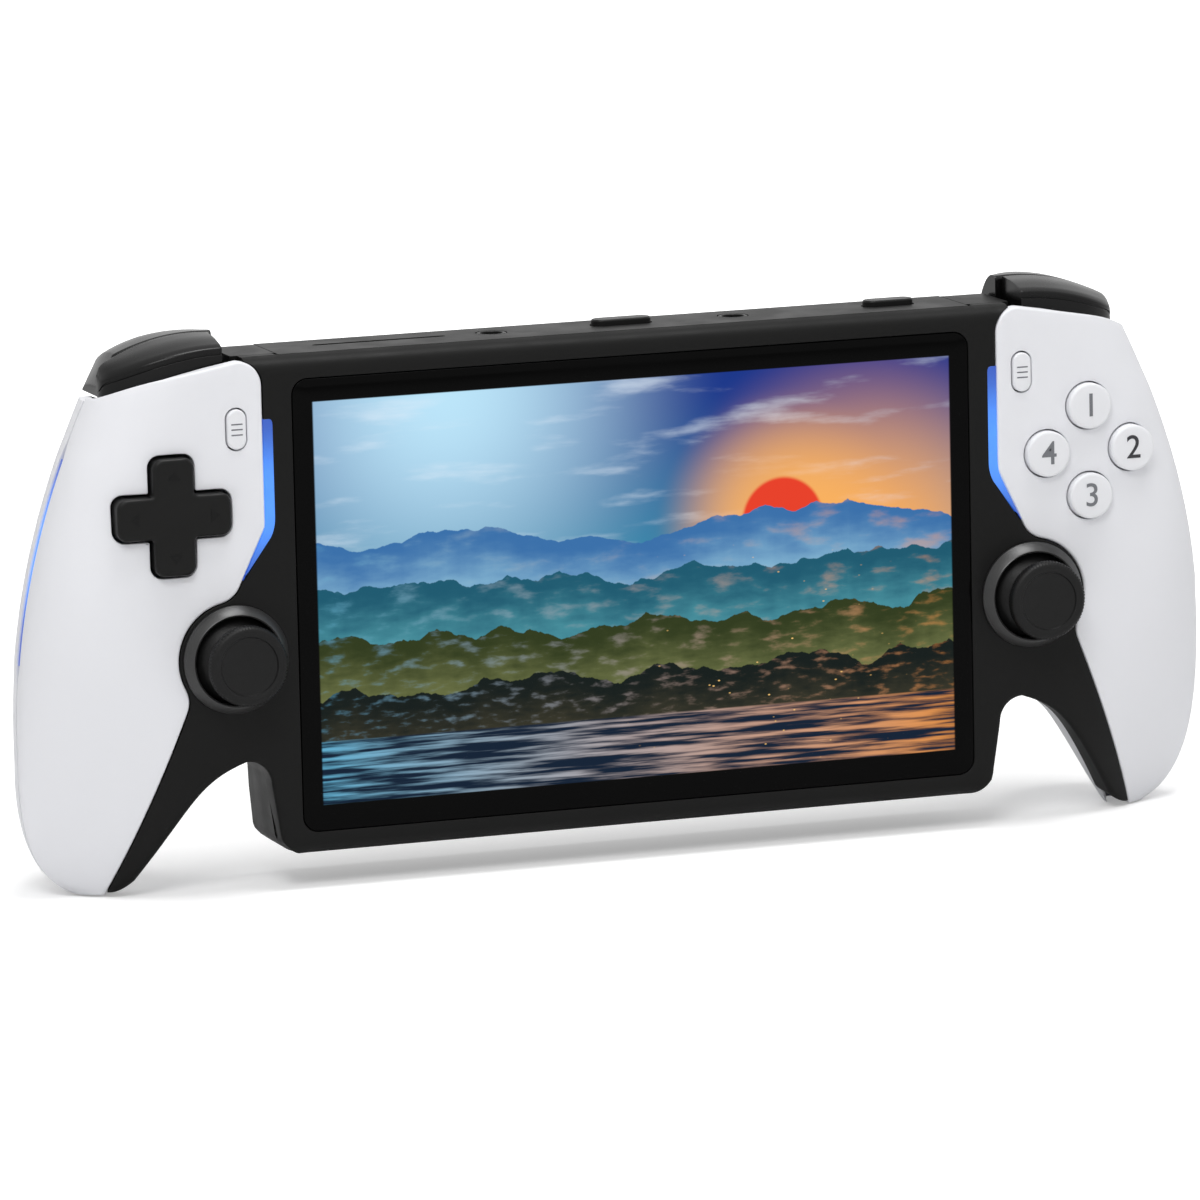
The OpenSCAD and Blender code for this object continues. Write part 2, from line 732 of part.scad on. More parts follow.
shell_mid = 12;
shell_rows = concat(
    [for (t = [0:0.14:0.98]) lerp(shell_top, arch_z + shell_mid, t)],
    [for (dz = [10, 7.5, 5, 3, 1.5, 0.5, -0.3, -1, -2, -3.5, -5.5, -8]) arch_z + dz],
    [for (t = [0.5, 0.62, 0.74, 0.84, 0.91, 0.96]) lerp(arch_z, tip_z, t)],
    [tip_z + tip_cut]);
tip_solid = 8;

module rear_shell() {
    inner = function (z) wall * clamp((z - tip_z) / tip_solid, 0.05, 1);
    color([0.88, 0.88, 0.9])
        skin([for (z = shell_rows) [for (s = shell_cols) shell_point(z, s, 0)]],
            [for (z = shell_rows) [for (s = shell_cols) shell_point(z, s, inner(z))]]);
}

// Light guides
guide_front = 0.2;
guide_back = 0.6;
guide_sink = 0.25;
guide_depth = 1.4;
module inner_light() {
    color([0.25, 0.5, 1]) slice_y(guide_front, frame_t - guide_back) light_path(0);
}

module side_light() {
    h = light_w / 2;
    ring = function (z) let (x = outer_x(z) - guide_sink, y = seam_y(z))
        [[x - guide_depth, y - h, z], [x, y - h, z], [x, y + h, z], [x - guide_depth, y + h, z]];
    color([0.25, 0.5, 1]) loft([for (t = [0:0.05:1]) ring(lerp(side_light_z[1], side_light_z[0], t))]);
}

// Keys
module face_button(a) {
    c = face_at(a);
    r = face_d / 2;
    foot = flange_y + flange_t;
    color([0.86, 0.86, 0.88]) translate([c[0], foot, c[1]]) rotate([90, 0, 0]) rotate_extrude() polygon([
        [0, 0], [r + flange_w, 0], [r + flange_w, flange_t], [r, flange_t],
        [r, foot + face_rise - face_bevel], [r - face_bevel, foot + face_rise], [0, foot + face_rise]]);
}

module menu_button() {
    color([0.86, 0.86, 0.88]) translate([pill_x, 0, pill_z]) {
        slice_y(-pill_rise, flange_y + flange_t) pill_shape(pill_w, pill_l);
        slice_y(flange_y, flange_y + flange_t)
            pill_shape(pill_w + 2 * pill_flange_w, pill_l + 2 * pill_flange_w);
    }
}

module dpad() {
    color([0.09, 0.09, 0.09]) translate([-key_x, 0, key_z]) difference() {
        union() {
            slice_y(-dpad_rise, dpad_back + flange_t) cross_shape(dpad_span, dpad_arm, dpad_r);
            rod_y(0, 0, dpad_back, dpad_back + flange_t, dpad_disc_r);
        }
        rod_y(0, 0, dpad_pivot - dpad_lid, dpad_back + flange_t + cut, dpad_well_r);
        translate([0, dpad_pivot, 0])
            cylinder(h = 2 * (spider_l[1] + gap), r = spider_r + run_gap, center = true);
    }
}

// Spider with an axle in the board's fork and one in the cross key
module dpad_rocker() {
    color([0.6, 0.6, 0.62]) translate([-key_x, dpad_pivot, key_z]) {
        cylinder(h = 2 * spider_l[1], r = spider_r, center = true);
        rotate([0, 90, 0]) cylinder(h = 2 * spider_l[0], r = spider_r, center = true);
    }
}

// Rubber sheets and the boards behind them
function sheet_y(s) = flange_t + stack_gap + (s > 0
    ? flange_y + key_travel
    : dpad_back + dpad_span / 2 * sin(sqrt(2) * dpad_tilt));
function board_y(s) = sheet_y(s) + rubber_t + stack_gap;

module board_outline() {
    translate([key_x - board_in, key_z - board_half]) square([board_in + board_half, 2 * board_half]);
    translate([pill_x - board_tab[0], key_z])
        square([key_x - board_in - pill_x + board_tab[0] + 2 * gap, pill_z - key_z + board_tab[1]]);
}

module key_rubber(s) {
    y = sheet_y(s);
    color([0.3, 0.3, 0.32]) side(s) difference() {
        slice_y(y, y + rubber_t) board_outline();
        for (p = post_pts) rod_y(p[0], p[1], y - cut, y + rubber_t + cut, post_r + gap);
        if (s < 0) rod_y(key_x, key_z, y - cut, y + rubber_t + cut, post_d / 2 + cut);
    }
}

module key_board(s) {
    y = board_y(s);
    color([0.1, 0.35, 0.2]) side(s) slice_y(y, y + board_t) board_outline();
    if (s < 0) color([0.2, 0.2, 0.2]) side(s) translate([key_x, 0, key_z]) difference() {
        rod_y(0, 0, dpad_pivot - spider_r - 5 * run_gap, y, post_d / 2);
        block([-fork_w / 2, fork_w / 2], [-cut, dpad_pivot + fork_w], [-post_d, post_d]);
        rod_x(dpad_pivot, 0, -post_d, post_d, spider_r + run_gap);
    }
}

// Thumb sticks
module stick_collar() {
    r = collar_d / 2;
    color([0.1, 0.1, 0.1]) translate([stick_x, 0, stick_z]) rotate([90, 0, 0]) rotate_extrude()
        polygon([[r - collar_w, 0], [r, 0], [r, collar_rise - collar_bevel[1]],
            [r - collar_bevel[0], collar_rise], [r - collar_w, collar_rise]]);
}

module stick_cap() {
    c = cap_d / 2;
    h0 = pivot_y - cap_y[1];
    h1 = pivot_y - cap_y[0];
    inner_a = asin(shaft_r / (dome_r - skirt_t));
    arc = function (r, a) r * [sin(a), cos(a)];
    color([0.08, 0.08, 0.08]) translate([stick_x, pivot_y, stick_z]) {
        rotate([90, 0, 0]) rotate_extrude() polygon(concat(
            [[0, -shaft_tail], [shaft_r, -shaft_tail]],
            [for (k = [0:0.125:1]) arc(dome_r - skirt_t, lerp(inner_a, skirt_a, k))],
            [for (k = [1:-0.125:0]) arc(dome_r, lerp(neck_a, skirt_a, k))],
            [[dome_r * sin(neck_a), h0], [c - cap_bevel, h0], [c, h0 + cap_bevel], [c, h1 - cap_bevel],
                [c - cap_bevel, h1], [c - cap_rim, h1], [c - cap_rim - cap_dish, h1 - cap_dish],
                [0, h1 - cap_dish]]));
        cylinder(h = 2 * (yoke_r[1] - 2 * gap), r = axle_r, center = true);
    }
}

module stick_yoke() {
    color([0.55, 0.55, 0.57]) translate([stick_x, pivot_y, stick_z]) difference() {
        union() {
            rod_y(0, 0, -yoke_t / 2, yoke_t / 2, yoke_r[1]);
            rod_x(0, 0, -axle_l, axle_l, axle_r);
        }
        rod_y(0, 0, -yoke_t, yoke_t, yoke_r[0]);
        cylinder(h = 2 * axle_l, r = axle_r + run_gap, center = true);
    }
}

module stick_base() {
    color([0.3, 0.3, 0.32]) translate([stick_x, 0, stick_z]) difference() {
        union() {
            block([-base_half, base_half], base_y, [-base_half, base_half]);
            both() block(base_ear_x, [pivot_y - 2 * axle_r, base_y[0]], [-base_ear_h, base_ear_h]);
        }
        rod_x(pivot_y, 0, -base_half, base_half, axle_r + run_gap);
    }
}

// Shoulder keys: heights of the crown and of the front ridge, and the front face
function crown_z(x) = body_top + shoulder_rise - crown_fall * pow(x - shoulder_x[0] - 2, 2);
function ridge_z(x) = body_top + shoulder_rise - ridge_drop - ridge_fall * pow(max(0, x - shoulder_x[0]), 2);
function bumper_front(x) = panel_t + bumper_gap
    + panel_y(x + bumper_lean, panel_top - corner_drop, half_w);

function bumper_ring(x) = let (
        f = bumper_front(x),
        r = ridge_z(x),
        c = crown_z(x),
        b = bumper_back,
        in = min(f + bumper_t, b - 0.5))
    [[x, f, bumper_skirt], [x, f, r], [x, lerp(f, b, 0.12), lerp(r, c, 0.3)],
     [x, lerp(f, b, 0.5), lerp(r, c, 0.78)], [x, b - 0.4, c], [x, b, c - 0.3], [x, b, c - bumper_t],
     [x, lerp(f, b, 0.55), lerp(r, c, 0.7) - bumper_t], [x, in, r - bumper_t], [x, in, bumper_skirt]];

module bumper() {
    pin = bumper_pin;
    color([0.07, 0.07, 0.07]) difference() {
        union() {
            loft([for (t = [0, 0.04, 0.15, 0.3, 0.45, 0.6, 0.72, 0.82, 0.9, 0.96, 1])
                bumper_ring(lerp(shoulder_x[0], shoulder_x[1], t))]);
            difference() {
                rod_x(pin[0], pin[1], hub_x[0], hub_x[1], hub_r);
                block([0, wide_x], [bumper_back, grip_depth], [0, 2 * body_top]);
            }
            block(hub_x, [pin[0] - pin_d / 2, bumper_back], [pin[1], crown_z(hub_x[1]) - 1]);
        }
        rod_x(pin[0], pin[1], hub_x[0] - cut, hub_x[1] + cut, pin_d / 2 + run_gap);
    }
}

// Back of a trigger, flush with the shell below it
function trigger_back(x) = let (
        z = shell_top,
        xm = lerp(leg_x(z) + gap, outer_x(z), shell_apex),
        y1 = seam_y(z) + seam_half(z),
        t = x > xm ? (x - xm) / (outer_x(z) - xm) : (xm - x) / (xm - leg_x(z) - gap),
        lift = pow(max(0, 1 - pow(t, shell_n)), 1 / shell_n))
    lerp(x > xm ? y1 : rim_y(leg_x(z), z), back_y(z), lift) - trigger_inset;

function trigger_ring(x) = let (
        f = trigger_front,
        b = trigger_back(x),
        c = crown_z(max(x, shoulder_x[0])),
        g = trigger_bottom)
    [[x, f, g], [x, f, c - 0.5], [x, f + 0.5, c], [x, lerp(f, b, 0.3), c],
     [x, lerp(f, b, 0.55), lerp(c, g, 0.1)], [x, lerp(f, b, 0.78), lerp(c, g, 0.28)],
     [x, lerp(f, b, 0.93), lerp(c, g, 0.52)], [x, b, lerp(c, g, 0.8)], [x, b, g]];

// Curtain that dips into the shell and closes the gap left for the swing
module trigger_curtain() {
    ring = function (in) let (e = [for (s = shell_cols) shell_xy(shell_top, s, in)], n = len(e) - 1)
        concat(e, [[e[n][0], 0], [e[0][0], 0]]);
    translate([0, 0, curtain_z]) linear_extrude(trigger_bottom + cut - curtain_z) intersection() {
        difference() {
            polygon(ring(wall + swing_gap));
            polygon(ring(wall + swing_gap + curtain_t));
        }
        translate([0, curtain_front]) square([wide_x, grip_depth]);
    }
}

module trigger() {
    pin = trigger_pin;
    reach = ear_r + swing_gap;
    color([0.09, 0.09, 0.09]) difference() {
        union() {
            loft([for (t = [0, 0.05, 0.15, 0.3, 0.45, 0.6, 0.75, 0.86, 0.94, 1])
                trigger_ring(lerp(trigger_x[0], trigger_x[1], t))]);
            rod_x(pin[0], pin[1], hub_x[0], hub_x[1], hub_r);
            trigger_curtain();
        }
        for (x = [[ear_x[0] - ear_gap, hub_x[0]], [hub_x[1], ear_x[1] + ear_t + ear_gap]]) {
            rod_x(pin[0], pin[1], x[0], x[1], reach);
            block(x, [pin[0] - reach, pin[0] + reach], [deck_z[0], pin[1]]);
            block(x, [trigger_front - cut, pin[0]], [deck_z[0], bumper_pin[1] + ear_r]);
        }
        rod_x(pin[0], pin[1], hub_x[0] - cut, hub_x[1] + cut, pin_d / 2 + run_gap);
    }
}

module shoulder_bracket() {
    color([0.2, 0.2, 0.2]) difference() {
        union() {
            block([ear_x[0], ear_x[1] + ear_t], [panel_t + 2 * gap, trigger_pin[0] + ear_r], deck_z);
            for (x = ear_x) {
                rod_x(bumper_pin[0], bumper_pin[1], x, x + ear_t, ear_r);
                rod_x(trigger_pin[0], trigger_pin[1], x, x + ear_t, ear_r);
                block([x, x + ear_t], [bumper_pin[0] - ear_r, trigger_pin[0] + ear_r],
                    [deck_z[0], trigger_pin[1]]);
                block([x, x + ear_t], [bumper_pin[0] - ear_r, bumper_pin[0] + ear_r],
                    [deck_z[0], bumper_pin[1]]);
            }
        }
        for (p = [bumper_pin, trigger_pin])
            rod_x(p[0], p[1], ear_x[0] - cut, ear_x[1] + ear_t + cut, pin_d / 2);
    }
}

module shoulder_pins() {
    color([0.7, 0.7, 0.72]) both() for (p = [bumper_pin, trigger_pin])
        rod_x(p[0], p[1], ear_x[0], ear_x[1] + ear_t, pin_d / 2);
}

// Top keys and sockets
module top_key(x, l) {
    z0 = body_top - strip_t - flange_gap - top_foot_t;
    color([0.08, 0.08, 0.08]) {
        top_pill(x, top_key_w, l, z0, body_top + top_key_rise);
        top_pill(x, top_key_w + 2 * top_foot_w, l + 2 * top_foot_w, z0, z0 + top_foot_t);
    }
}

module jack(s) {
    color([0.12, 0.12, 0.12]) translate([s * jack_x, jack_y, body_top - jack_l - jack_floor]) difference() {
        union() {
            cylinder(h = jack_l + jack_floor, r = jack_d / 2);
            translate([-jack_case[0] / 2, -jack_case[1] / 2, 0])
                cube([jack_case[0], jack_case[1], jack_l + jack_floor - strip_t - layer_gap]);
        }
        translate([0, 0, jack_floor]) cylinder(h = jack_l + cut, r = jack_bore / 2);
    }
}

// Inside of the middle body
module main_board() {
    x = lcd_w / 2 - pcb_side;
    color([0.08, 0.3, 0.18])
        block([-x, x], [pcb_y, pcb_y + pcb_t], [-lcd_h / 2 + pcb_low, lcd_h / 2 - pcb_high]);
}

module battery() {
    z = -lcd_h / 2 + battery_low;
    color([0.5, 0.52, 0.55]) slice_y(pcb_y + pcb_t + layer_gap, body_depth - wall - layer_gap)
        round_rect(-battery_w / 2, battery_w / 2, z, z + battery_h, battery_r);
}

module speaker() {
    z = body_top - strip_t - speaker_gap;
    color([0.25, 0.25, 0.26])
        block([slot_x, slot_x + slot_l], [jack_y - speaker_w / 2, jack_y + speaker_w / 2],
            [z - speaker_h, z]);
}

place() front_frame();
place() rear_cover();
place() top_strip();
place() screen_lens();
place() lcd_panel();
place() left_front_panel();
place() right_front_panel();
place() side(-1) rear_shell();  // left_rear_shell
place() side(1) rear_shell();  // right_rear_shell
place() side(-1) inner_light();  // left_inner_light
place() side(1) inner_light();  // right_inner_light
place() side(-1) side_light();  // left_side_light
place() side(1) side_light();  // right_side_light
place() dpad();
place() dpad_rocker();
place() face_button(90);  // face_button_top
place() face_button(180);  // face_button_left
place() face_button(0);  // face_button_right
place() face_button(270);  // face_button_bottom
place() side(-1) menu_button();  // left_menu_button
place() side(1) menu_button();  // right_menu_button
place() side(-1) stick_collar();  // left_stick_collar
place() side(-1) stick_cap();  // left_stick_cap
place() side(-1) stick_yoke();  // left_stick_yoke
place() side(-1) stick_base();  // left_stick_base
place() side(1) stick_collar();  // right_stick_collar
place() side(1) stick_cap();  // right_stick_cap
place() side(1) stick_yoke();  // right_stick_yoke
place() side(1) stick_base();  // right_stick_base
place() side(-1) bumper();  // left_bumper
place() side(1) bumper();  // right_bumper
place() side(-1) trigger();  // left_trigger
place() side(1) trigger();  // right_trigger
place() side(-1) shoulder_bracket();  // left_shoulder_bracket
place() side(1) shoulder_bracket();  // right_shoulder_bracket
place() shoulder_pins();
place() top_key(volume_x, volume_l);  // volume_button
place() top_key(power_x, power_l);  // power_button
place() jack(-1);  // left_jack
place() jack(1);  // right_jack
place() key_board(-1);  // left_key_board
place() key_board(1);  // right_key_board
place() key_rubber(-1);  // left_key_rubber
place() key_rubber(1);  // right_key_rubber
place() main_board();
place() battery();
place() speaker();
place() case_screws();
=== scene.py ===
import json
import math
from bisect import bisect_left

import bmesh
import bpy
import numpy as np
from mathutils import Matrix, Vector
from mathutils.geometry import delaunay_2d_cdt


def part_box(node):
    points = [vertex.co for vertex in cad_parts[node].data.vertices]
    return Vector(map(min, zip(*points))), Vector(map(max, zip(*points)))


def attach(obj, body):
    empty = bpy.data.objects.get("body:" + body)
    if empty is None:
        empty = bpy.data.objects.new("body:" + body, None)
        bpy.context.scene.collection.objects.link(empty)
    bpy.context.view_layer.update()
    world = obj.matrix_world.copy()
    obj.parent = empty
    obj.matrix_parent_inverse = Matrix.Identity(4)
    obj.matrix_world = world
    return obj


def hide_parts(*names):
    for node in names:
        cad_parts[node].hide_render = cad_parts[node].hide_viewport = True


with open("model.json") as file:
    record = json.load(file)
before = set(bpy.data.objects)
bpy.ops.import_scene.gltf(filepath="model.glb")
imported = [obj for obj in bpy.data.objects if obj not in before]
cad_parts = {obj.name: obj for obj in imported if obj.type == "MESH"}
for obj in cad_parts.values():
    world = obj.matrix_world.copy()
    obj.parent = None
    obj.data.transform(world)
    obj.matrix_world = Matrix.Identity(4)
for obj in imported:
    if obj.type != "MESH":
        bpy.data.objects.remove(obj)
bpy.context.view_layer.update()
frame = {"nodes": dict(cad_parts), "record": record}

# Lengths below are in millimetres: x to the right, y back from the lens face, z up from the screen's middle
MM = 0.001
front_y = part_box("screen_lens")[0].y
mid_z = (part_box("lcd_panel")[0].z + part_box("lcd_panel")[1].z) / 2


def to_frame(p):
    return Vector((p[0] * MM, p[1] * MM + front_y, p[2] * MM + mid_z))


def span(node):
    low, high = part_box(node)
    return [Vector((c.x / MM, (c.y - front_y) / MM, (c.z - mid_z) / MM)) for c in (low, high)]


# Middle body
lens_low, lens_high = span("screen_lens")
lens_x, lens_lo, lens_hi, lens_t = lens_high.x, lens_low.z, lens_high.z, lens_high.y
lens_r = 2.5
lcd_rim = 0.7
lcd_low, lcd_high = span("lcd_panel")
lcd_w = lcd_high.x - lcd_low.x - 2 * lcd_rim
lcd_h = lcd_high.z - lcd_low.z - 2 * lcd_rim
cover_low, cover_high = span("rear_cover")
body_top, body_bottom, body_depth = cover_high.z, cover_low.z, cover_high.y
half_w = lens_x + 5
gap = 0.15
wall = 2
frame_t = 4
front_round = 2.6
chin_r = 4
chin_x = half_w - 1.2
strip_x = span("top_strip")[1].x
strip_front = span("top_strip")[0].y

# Grips
grip_depth = 31
seam_depth, seam_fall = 11, 1.5
wide_x = half_w + 38.9
wide_z = body_bottom + 20.4
tip_x = wide_x - 11.7
tip_z = body_bottom - 5.7
outer_r, outer_n = 112, 3
panel_top = body_top - 0.4
panel_corner_r = 4
corner_drop, top_lean, top_n = 5.5, 0.6, 6
panel_round, round_share, roll_n = 15, 0.92, 2.3
panel_t = 2
arch_r = 4
arch_x = half_w + arch_r
arch_z = body_bottom + 15.8
leg_ease, leg_blend, leg_bend_r = 5.2, 2.2, 57.5
toe_w, toe_start, toe_round, leg_step = 3.8, 0.88, 1.0, 1.1
leg_slope = (tip_x - toe_w - arch_x - leg_ease) / (arch_z - tip_z)
kink_z = body_top - 27
light_w, light_fade = 1.2, 3
inner_light_w, light_share, light_top = 1.6, 0.72, body_top - 9.8
light_edge, light_proud, light_depth = 0.05, 0.04, 1
side_sink, side_depth, side_edge = 0.2, 1.4, 0.2
side_light_z = (wide_z + 12, body_top - 15.6)
back_top_drop, back_n = 3, 2.5
tip_back = seam_depth + 5
rim_blend = 9
shell_fade = 14
shell_top = panel_top - corner_drop - 0.6
shell_apex, shell_n = 0.45, 1.75
swing_slope = math.tan(math.radians(13))

# Keys
stick_x = half_w + 5.6
stick_z = body_top - 47.8
plate_r, plate_fillet, cusp_angle = 9.3, 4.5, -39
dpad_x, dpad_z = half_w + 15.3, body_top - 24.2
face_x, face_z = half_w + 16, body_top - 24.8
pill_x, pill_z = half_w + 4.4, body_top - 11.1
pill_w, pill_l = 3.1, 6.4
dpad_span, dpad_arm, dpad_r = 18.8, 6.8, 1.7
face_d, face_pitch = 7.5, 7.4
key_gap, dpad_play = 0.25, 0.2
pivot_y = 5
dome_r = 8.6
trigger_pin_y = seam_depth + 5.5

BODY_OF = {node: body for body, nodes in frame["record"]["behaviour"]["bodies"].items() for node in nodes}
SLOT_OF = {row["node"]: row["material_slot"] for row in frame["record"]["subparts"]}


# Plane geometry
def lerp(a, b, t):
    return a + (b - a) * t


def clamp(v, low=0.0, high=1.0):
    return min(max(v, low), high)


def ease(t):
    return (1 - math.cos(math.pi * clamp(t))) / 2


def turn(v):
    return Vector((-v.y, v.x))


def bearing(v):
    return math.degrees(math.atan2(v.y, v.x))


def arc(c, r, a0, a1, n):
    angles = [math.radians(lerp(a0, a1, k / n)) for k in range(n + 1)]
    return [Vector((c[0] + r * math.cos(a), c[1] + r * math.sin(a))) for a in angles]


def curve(a, b, c, n=8):
    """Points from a to c, drawn towards b."""
    return [a * (1 - t) ** 2 + b * 2 * t * (1 - t) + c * t * t for t in (k / n for k in range(n + 1))]


def round_rect(x0, x1, z0, z1, r, n=8):
    corners = ((x1 - r, z0 + r, -90), (x1 - r, z1 - r, 0), (x0 + r, z1 - r, 90), (x0 + r, z0 + r, 180))
    return [p for x, z, a in corners for p in arc((x, z), r, a, a + 90, n)]


def pill_loop(x, z, w, l, n=20):
    d = (l - w) / 2
    return arc((x, z + d), w / 2, 0, 180, n) + arc((x, z - d), w / 2, 180, 360, n)


def cross_loop(x, z, width, arm, r, inner_r=0.3, n=6):
    a, b = arm / 2, width / 2
    quarter = [*arc((b - r, a - r), r, 0, 90, n), *arc((a + inner_r, a + inner_r), inner_r, 270, 180, n)]
    quarter += arc((a - r, b - r), r, 0, 90, n)
    loop = []
    for k in range(4):
        swing = Matrix.Rotation(math.radians(90 * k), 2)
        loop += [Vector((x, z)) + swing @ p for p in quarter]
    return loop


def tidy_loop(loop, step):
    """Drops doubled points and splits long edges."""
    out = []
    for a, b in zip(loop, loop[1:] + loop[:1]):
        n = max(1, math.ceil((b - a).length / step))
        out += [a.lerp(b, k / n) for k in range(n)]
    return [p for p, q in zip(out, out[1:] + out[:1]) if (q - p).length > 0.02]


def area(loop):
    return sum(a.x * b.y - b.x * a.y for a, b in zip(loop, loop[1:] + loop[:1])) / 2


# Form of the grips
def outer_x(z):
    if z > wide_z:
        return wide_x - (z - wide_z) ** 2 / (2 * outer_r)
    k = clamp((wide_z - z) / (wide_z - tip_z))
    return tip_x + (wide_x - tip_x) * math.sqrt(1 - k ** outer_n)


def leg_x(z):
    if z > arch_z:
        return arch_x
    return arch_x + leg_slope * (arch_z - z) + leg_ease * (1 - math.exp((z - arch_z) / leg_blend))


stick_at = Vector((stick_x, stick_z))
cusp = arc(stick_at, plate_r, cusp_angle, 0, 1)[0]
bend_at = Vector((arch_x, arch_z))
bend_dir = (cusp - bend_at).normalized()
bend_out = -turn(bend_dir)


def bend_y(x, z, inset=0.0):
    past = max(0.0, (Vector((x, z)) - bend_at).dot(bend_out))
    return leg_bend_r - math.sqrt((leg_bend_r - inset) ** 2 - past ** 2)


def seam_y(z):
    return seam_depth + seam_fall * ease((wide_z - z) / (wide_z - tip_z))


def seam_half(z):
    return gap + light_w / 2 * clamp(1 + min(z - side_light_z[0], side_light_z[1] - z) / light_fade)


def back_y(z):
    if z > wide_z:
        return grip_depth - back_top_drop * ((z - wide_z) / (body_top - wide_z)) ** 2
    k = clamp((wide_z - z) / (wide_z - tip_z))
    return tip_back + (grip_depth - tip_back) * math.sqrt(1 - k ** back_n)


def rim_y(x, z):
    blend = ease((arch_z + rim_blend - z) / rim_blend)
    return lerp(body_depth - wall, bend_y(x, z, frame_t + 2 * gap), blend)


def fillet_at(p, d, way):
    q = p + plate_fillet * turn(d) - stick_at
    b = q.dot(d)
    return stick_at + q + (-b + way * math.sqrt(b * b - q.dot(q) + (plate_r + plate_fillet) ** 2)) * d


kink = Vector((half_w, kink_z))
tip = Vector((tip_x - leg_step, tip_z))
kink_dir = (stick_at + Vector((0, plate_r)) - kink).normalized()
leg_dir = (tip - cusp).normalized()
upper_fillet = fillet_at(kink, kink_dir, -1)
lower_fillet = fillet_at(cusp, leg_dir, 1)


def boundary(g):
    """Inner edge of a front panel from its top to its tip, moved by g towards the screen."""
    up = bearing(upper_fillet - stick_at)
    low = bearing(lower_fillet - stick_at)
    shift = Vector((g, 0))
    corner = (half_w + panel_corner_r, panel_top - panel_corner_r)
    r = plate_fillet + g
    path = arc(corner, panel_corner_r + g, 90, 180, 14)
    path += [kink - shift]
    path += arc(upper_fillet, r, bearing(-turn(kink_dir)), up - 180, 8)
    path += arc(stick_at, plate_r - g, up, low, 30)[1:-1]
    path += arc(lower_fillet, r, low + 180, bearing(-turn(leg_dir)) + 360, 8)
    return path + [tip - shift]


edge_path = boundary(0)
edge_z = [-p.y for p in edge_path]


def edge_x(z):
    """Inner edge of a front panel at height z."""
    k = clamp(bisect_left(edge_z, -z), 1, len(edge_z) - 1)
    a, b = edge_path[k - 1], edge_path[k]
    return lerp(a.x, b.x, clamp((a.y - z) / (a.y - b.y)))


def roll_of(z):
    """Start, width and unrolled length of a panel's rounding at height z."""
    start_x = min(edge_x(z), half_w if z > kink_z else wide_x)
    w = max(0.05, min(panel_round, round_share * (outer_x(z) - start_x)))
    h = seam_y(z) - seam_half(z) - bend_y(outer_x(z), z)
    return outer_x(z) - w, w, 0.8 * (w + h)


def unroll(x, z):
    """Place of a point of a panel along its unrolled surface."""
    start, w, length = roll_of(z)
    if x <= start:
        return Vector((x, z))
    return Vector((start + length * math.asin(clamp((x - start) / w) ** (roll_n / 2)) / (math.pi / 2), z))


def panel_point(p, z):
    start, w, length = roll_of(z)
    if p <= start:
        return Vector((p, bend_y(p, z), z))
    a = clamp((p - start) / length) * math.pi / 2
    x = start + w * math.sin(a) ** (2 / roll_n)
    base = bend_y(x, z)
    return Vector((x, base + (seam_y(z) - seam_half(z) - base) * (1 - math.cos(a) ** (2 / roll_n)), z))


def panel_y(x, z):
    return panel_point(unroll(x, z).x, z).y


# Meshes
def new_mesh(name, points, faces, mirror=False):
    sign = -1 if mirror else 1
    mesh = bpy.data.meshes.new(name)
    mesh.from_pydata([to_frame((sign * p[0], p[1], p[2])) for p in points], [],
                     [f[::-1] for f in faces] if mirror else faces)
    mesh.validate()
    return mesh


def flat_face(y):
    """Shape of a flat face at depth y."""
    return lambda x, z: Vector((x, y, z))


def smooth(mesh, angle=32):
    mesh.polygons.foreach_set("use_smooth", [True] * len(mesh.polygons))
    mesh.set_sharp_from_angle(angle=math.radians(angle))


def add(name, mesh, material, body, nodes=(), bevel=0.0, segments=3, angle=32):
    """Makes a piece that rides on a body and stands for CAD nodes."""
    obj = bpy.data.objects.new(name, mesh)
    bpy.context.scene.collection.objects.link(obj)
    mesh.materials.clear()
    mesh.materials.append(material)
    if bevel:
        mod = obj.modifiers.new("edge", "BEVEL")
        mod.width = bevel * MM
        mod.segments = segments
        mod.limit_method = "ANGLE"
        mod.angle_limit = math.radians(angle)
        mod.harden_normals = False
        mod.use_clamp_overlap = True
    smooth(mesh, angle if not bevel else 180)
    if bevel:
        even = obj.modifiers.new("normals", "WEIGHTED_NORMAL")
        even.keep_sharp = True
        even.weight = 60
    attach(obj, body)
    if nodes:
        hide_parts(*nodes)


def in_loop(points, loop):
    hit = np.zeros(len(points), bool)
    for a, b in zip(loop, loop[1:] + loop[:1]):
        if a.y != b.y:
            across = (a.y > points[:, 1]) != (b.y > points[:, 1])
            hit ^= across & (points[:, 0] < (b.x - a.x) * (points[:, 1] - a.y) / (b.y - a.y) + a.x)
    return hit


def in_region(points, loops):
    hit = in_loop(points, loops[0])
    for hole in loops[1:]:
        hit &= ~in_loop(points, hole)
    return hit


def inner_points(loops, spacing, clear):
    """Points of a triangular grid that lie inside the loops, clear of them."""
    ring = np.array([p[:] for loop in loops for p in loop])
    low, high = ring.min(0), ring.max(0)
    step = spacing * math.sqrt(3) / 2
    grid = [(low[0] + spacing * (i + 0.5 * (j % 2)), low[1] + step * j)
            for j in range(int((high[1] - low[1]) / step) + 1)
            for i in range(int((high[0] - low[0]) / spacing) + 1)]
    grid = np.array(grid)
    grid = grid[in_region(grid, loops)]
    keep = [np.sqrt(((block[:, None] - ring[None]) ** 2).sum(2)).min(1) > clear
            for block in np.array_split(grid, max(1, len(grid) // 500))]
    return [Vector(p) for p in grid[np.concatenate(keep)]]


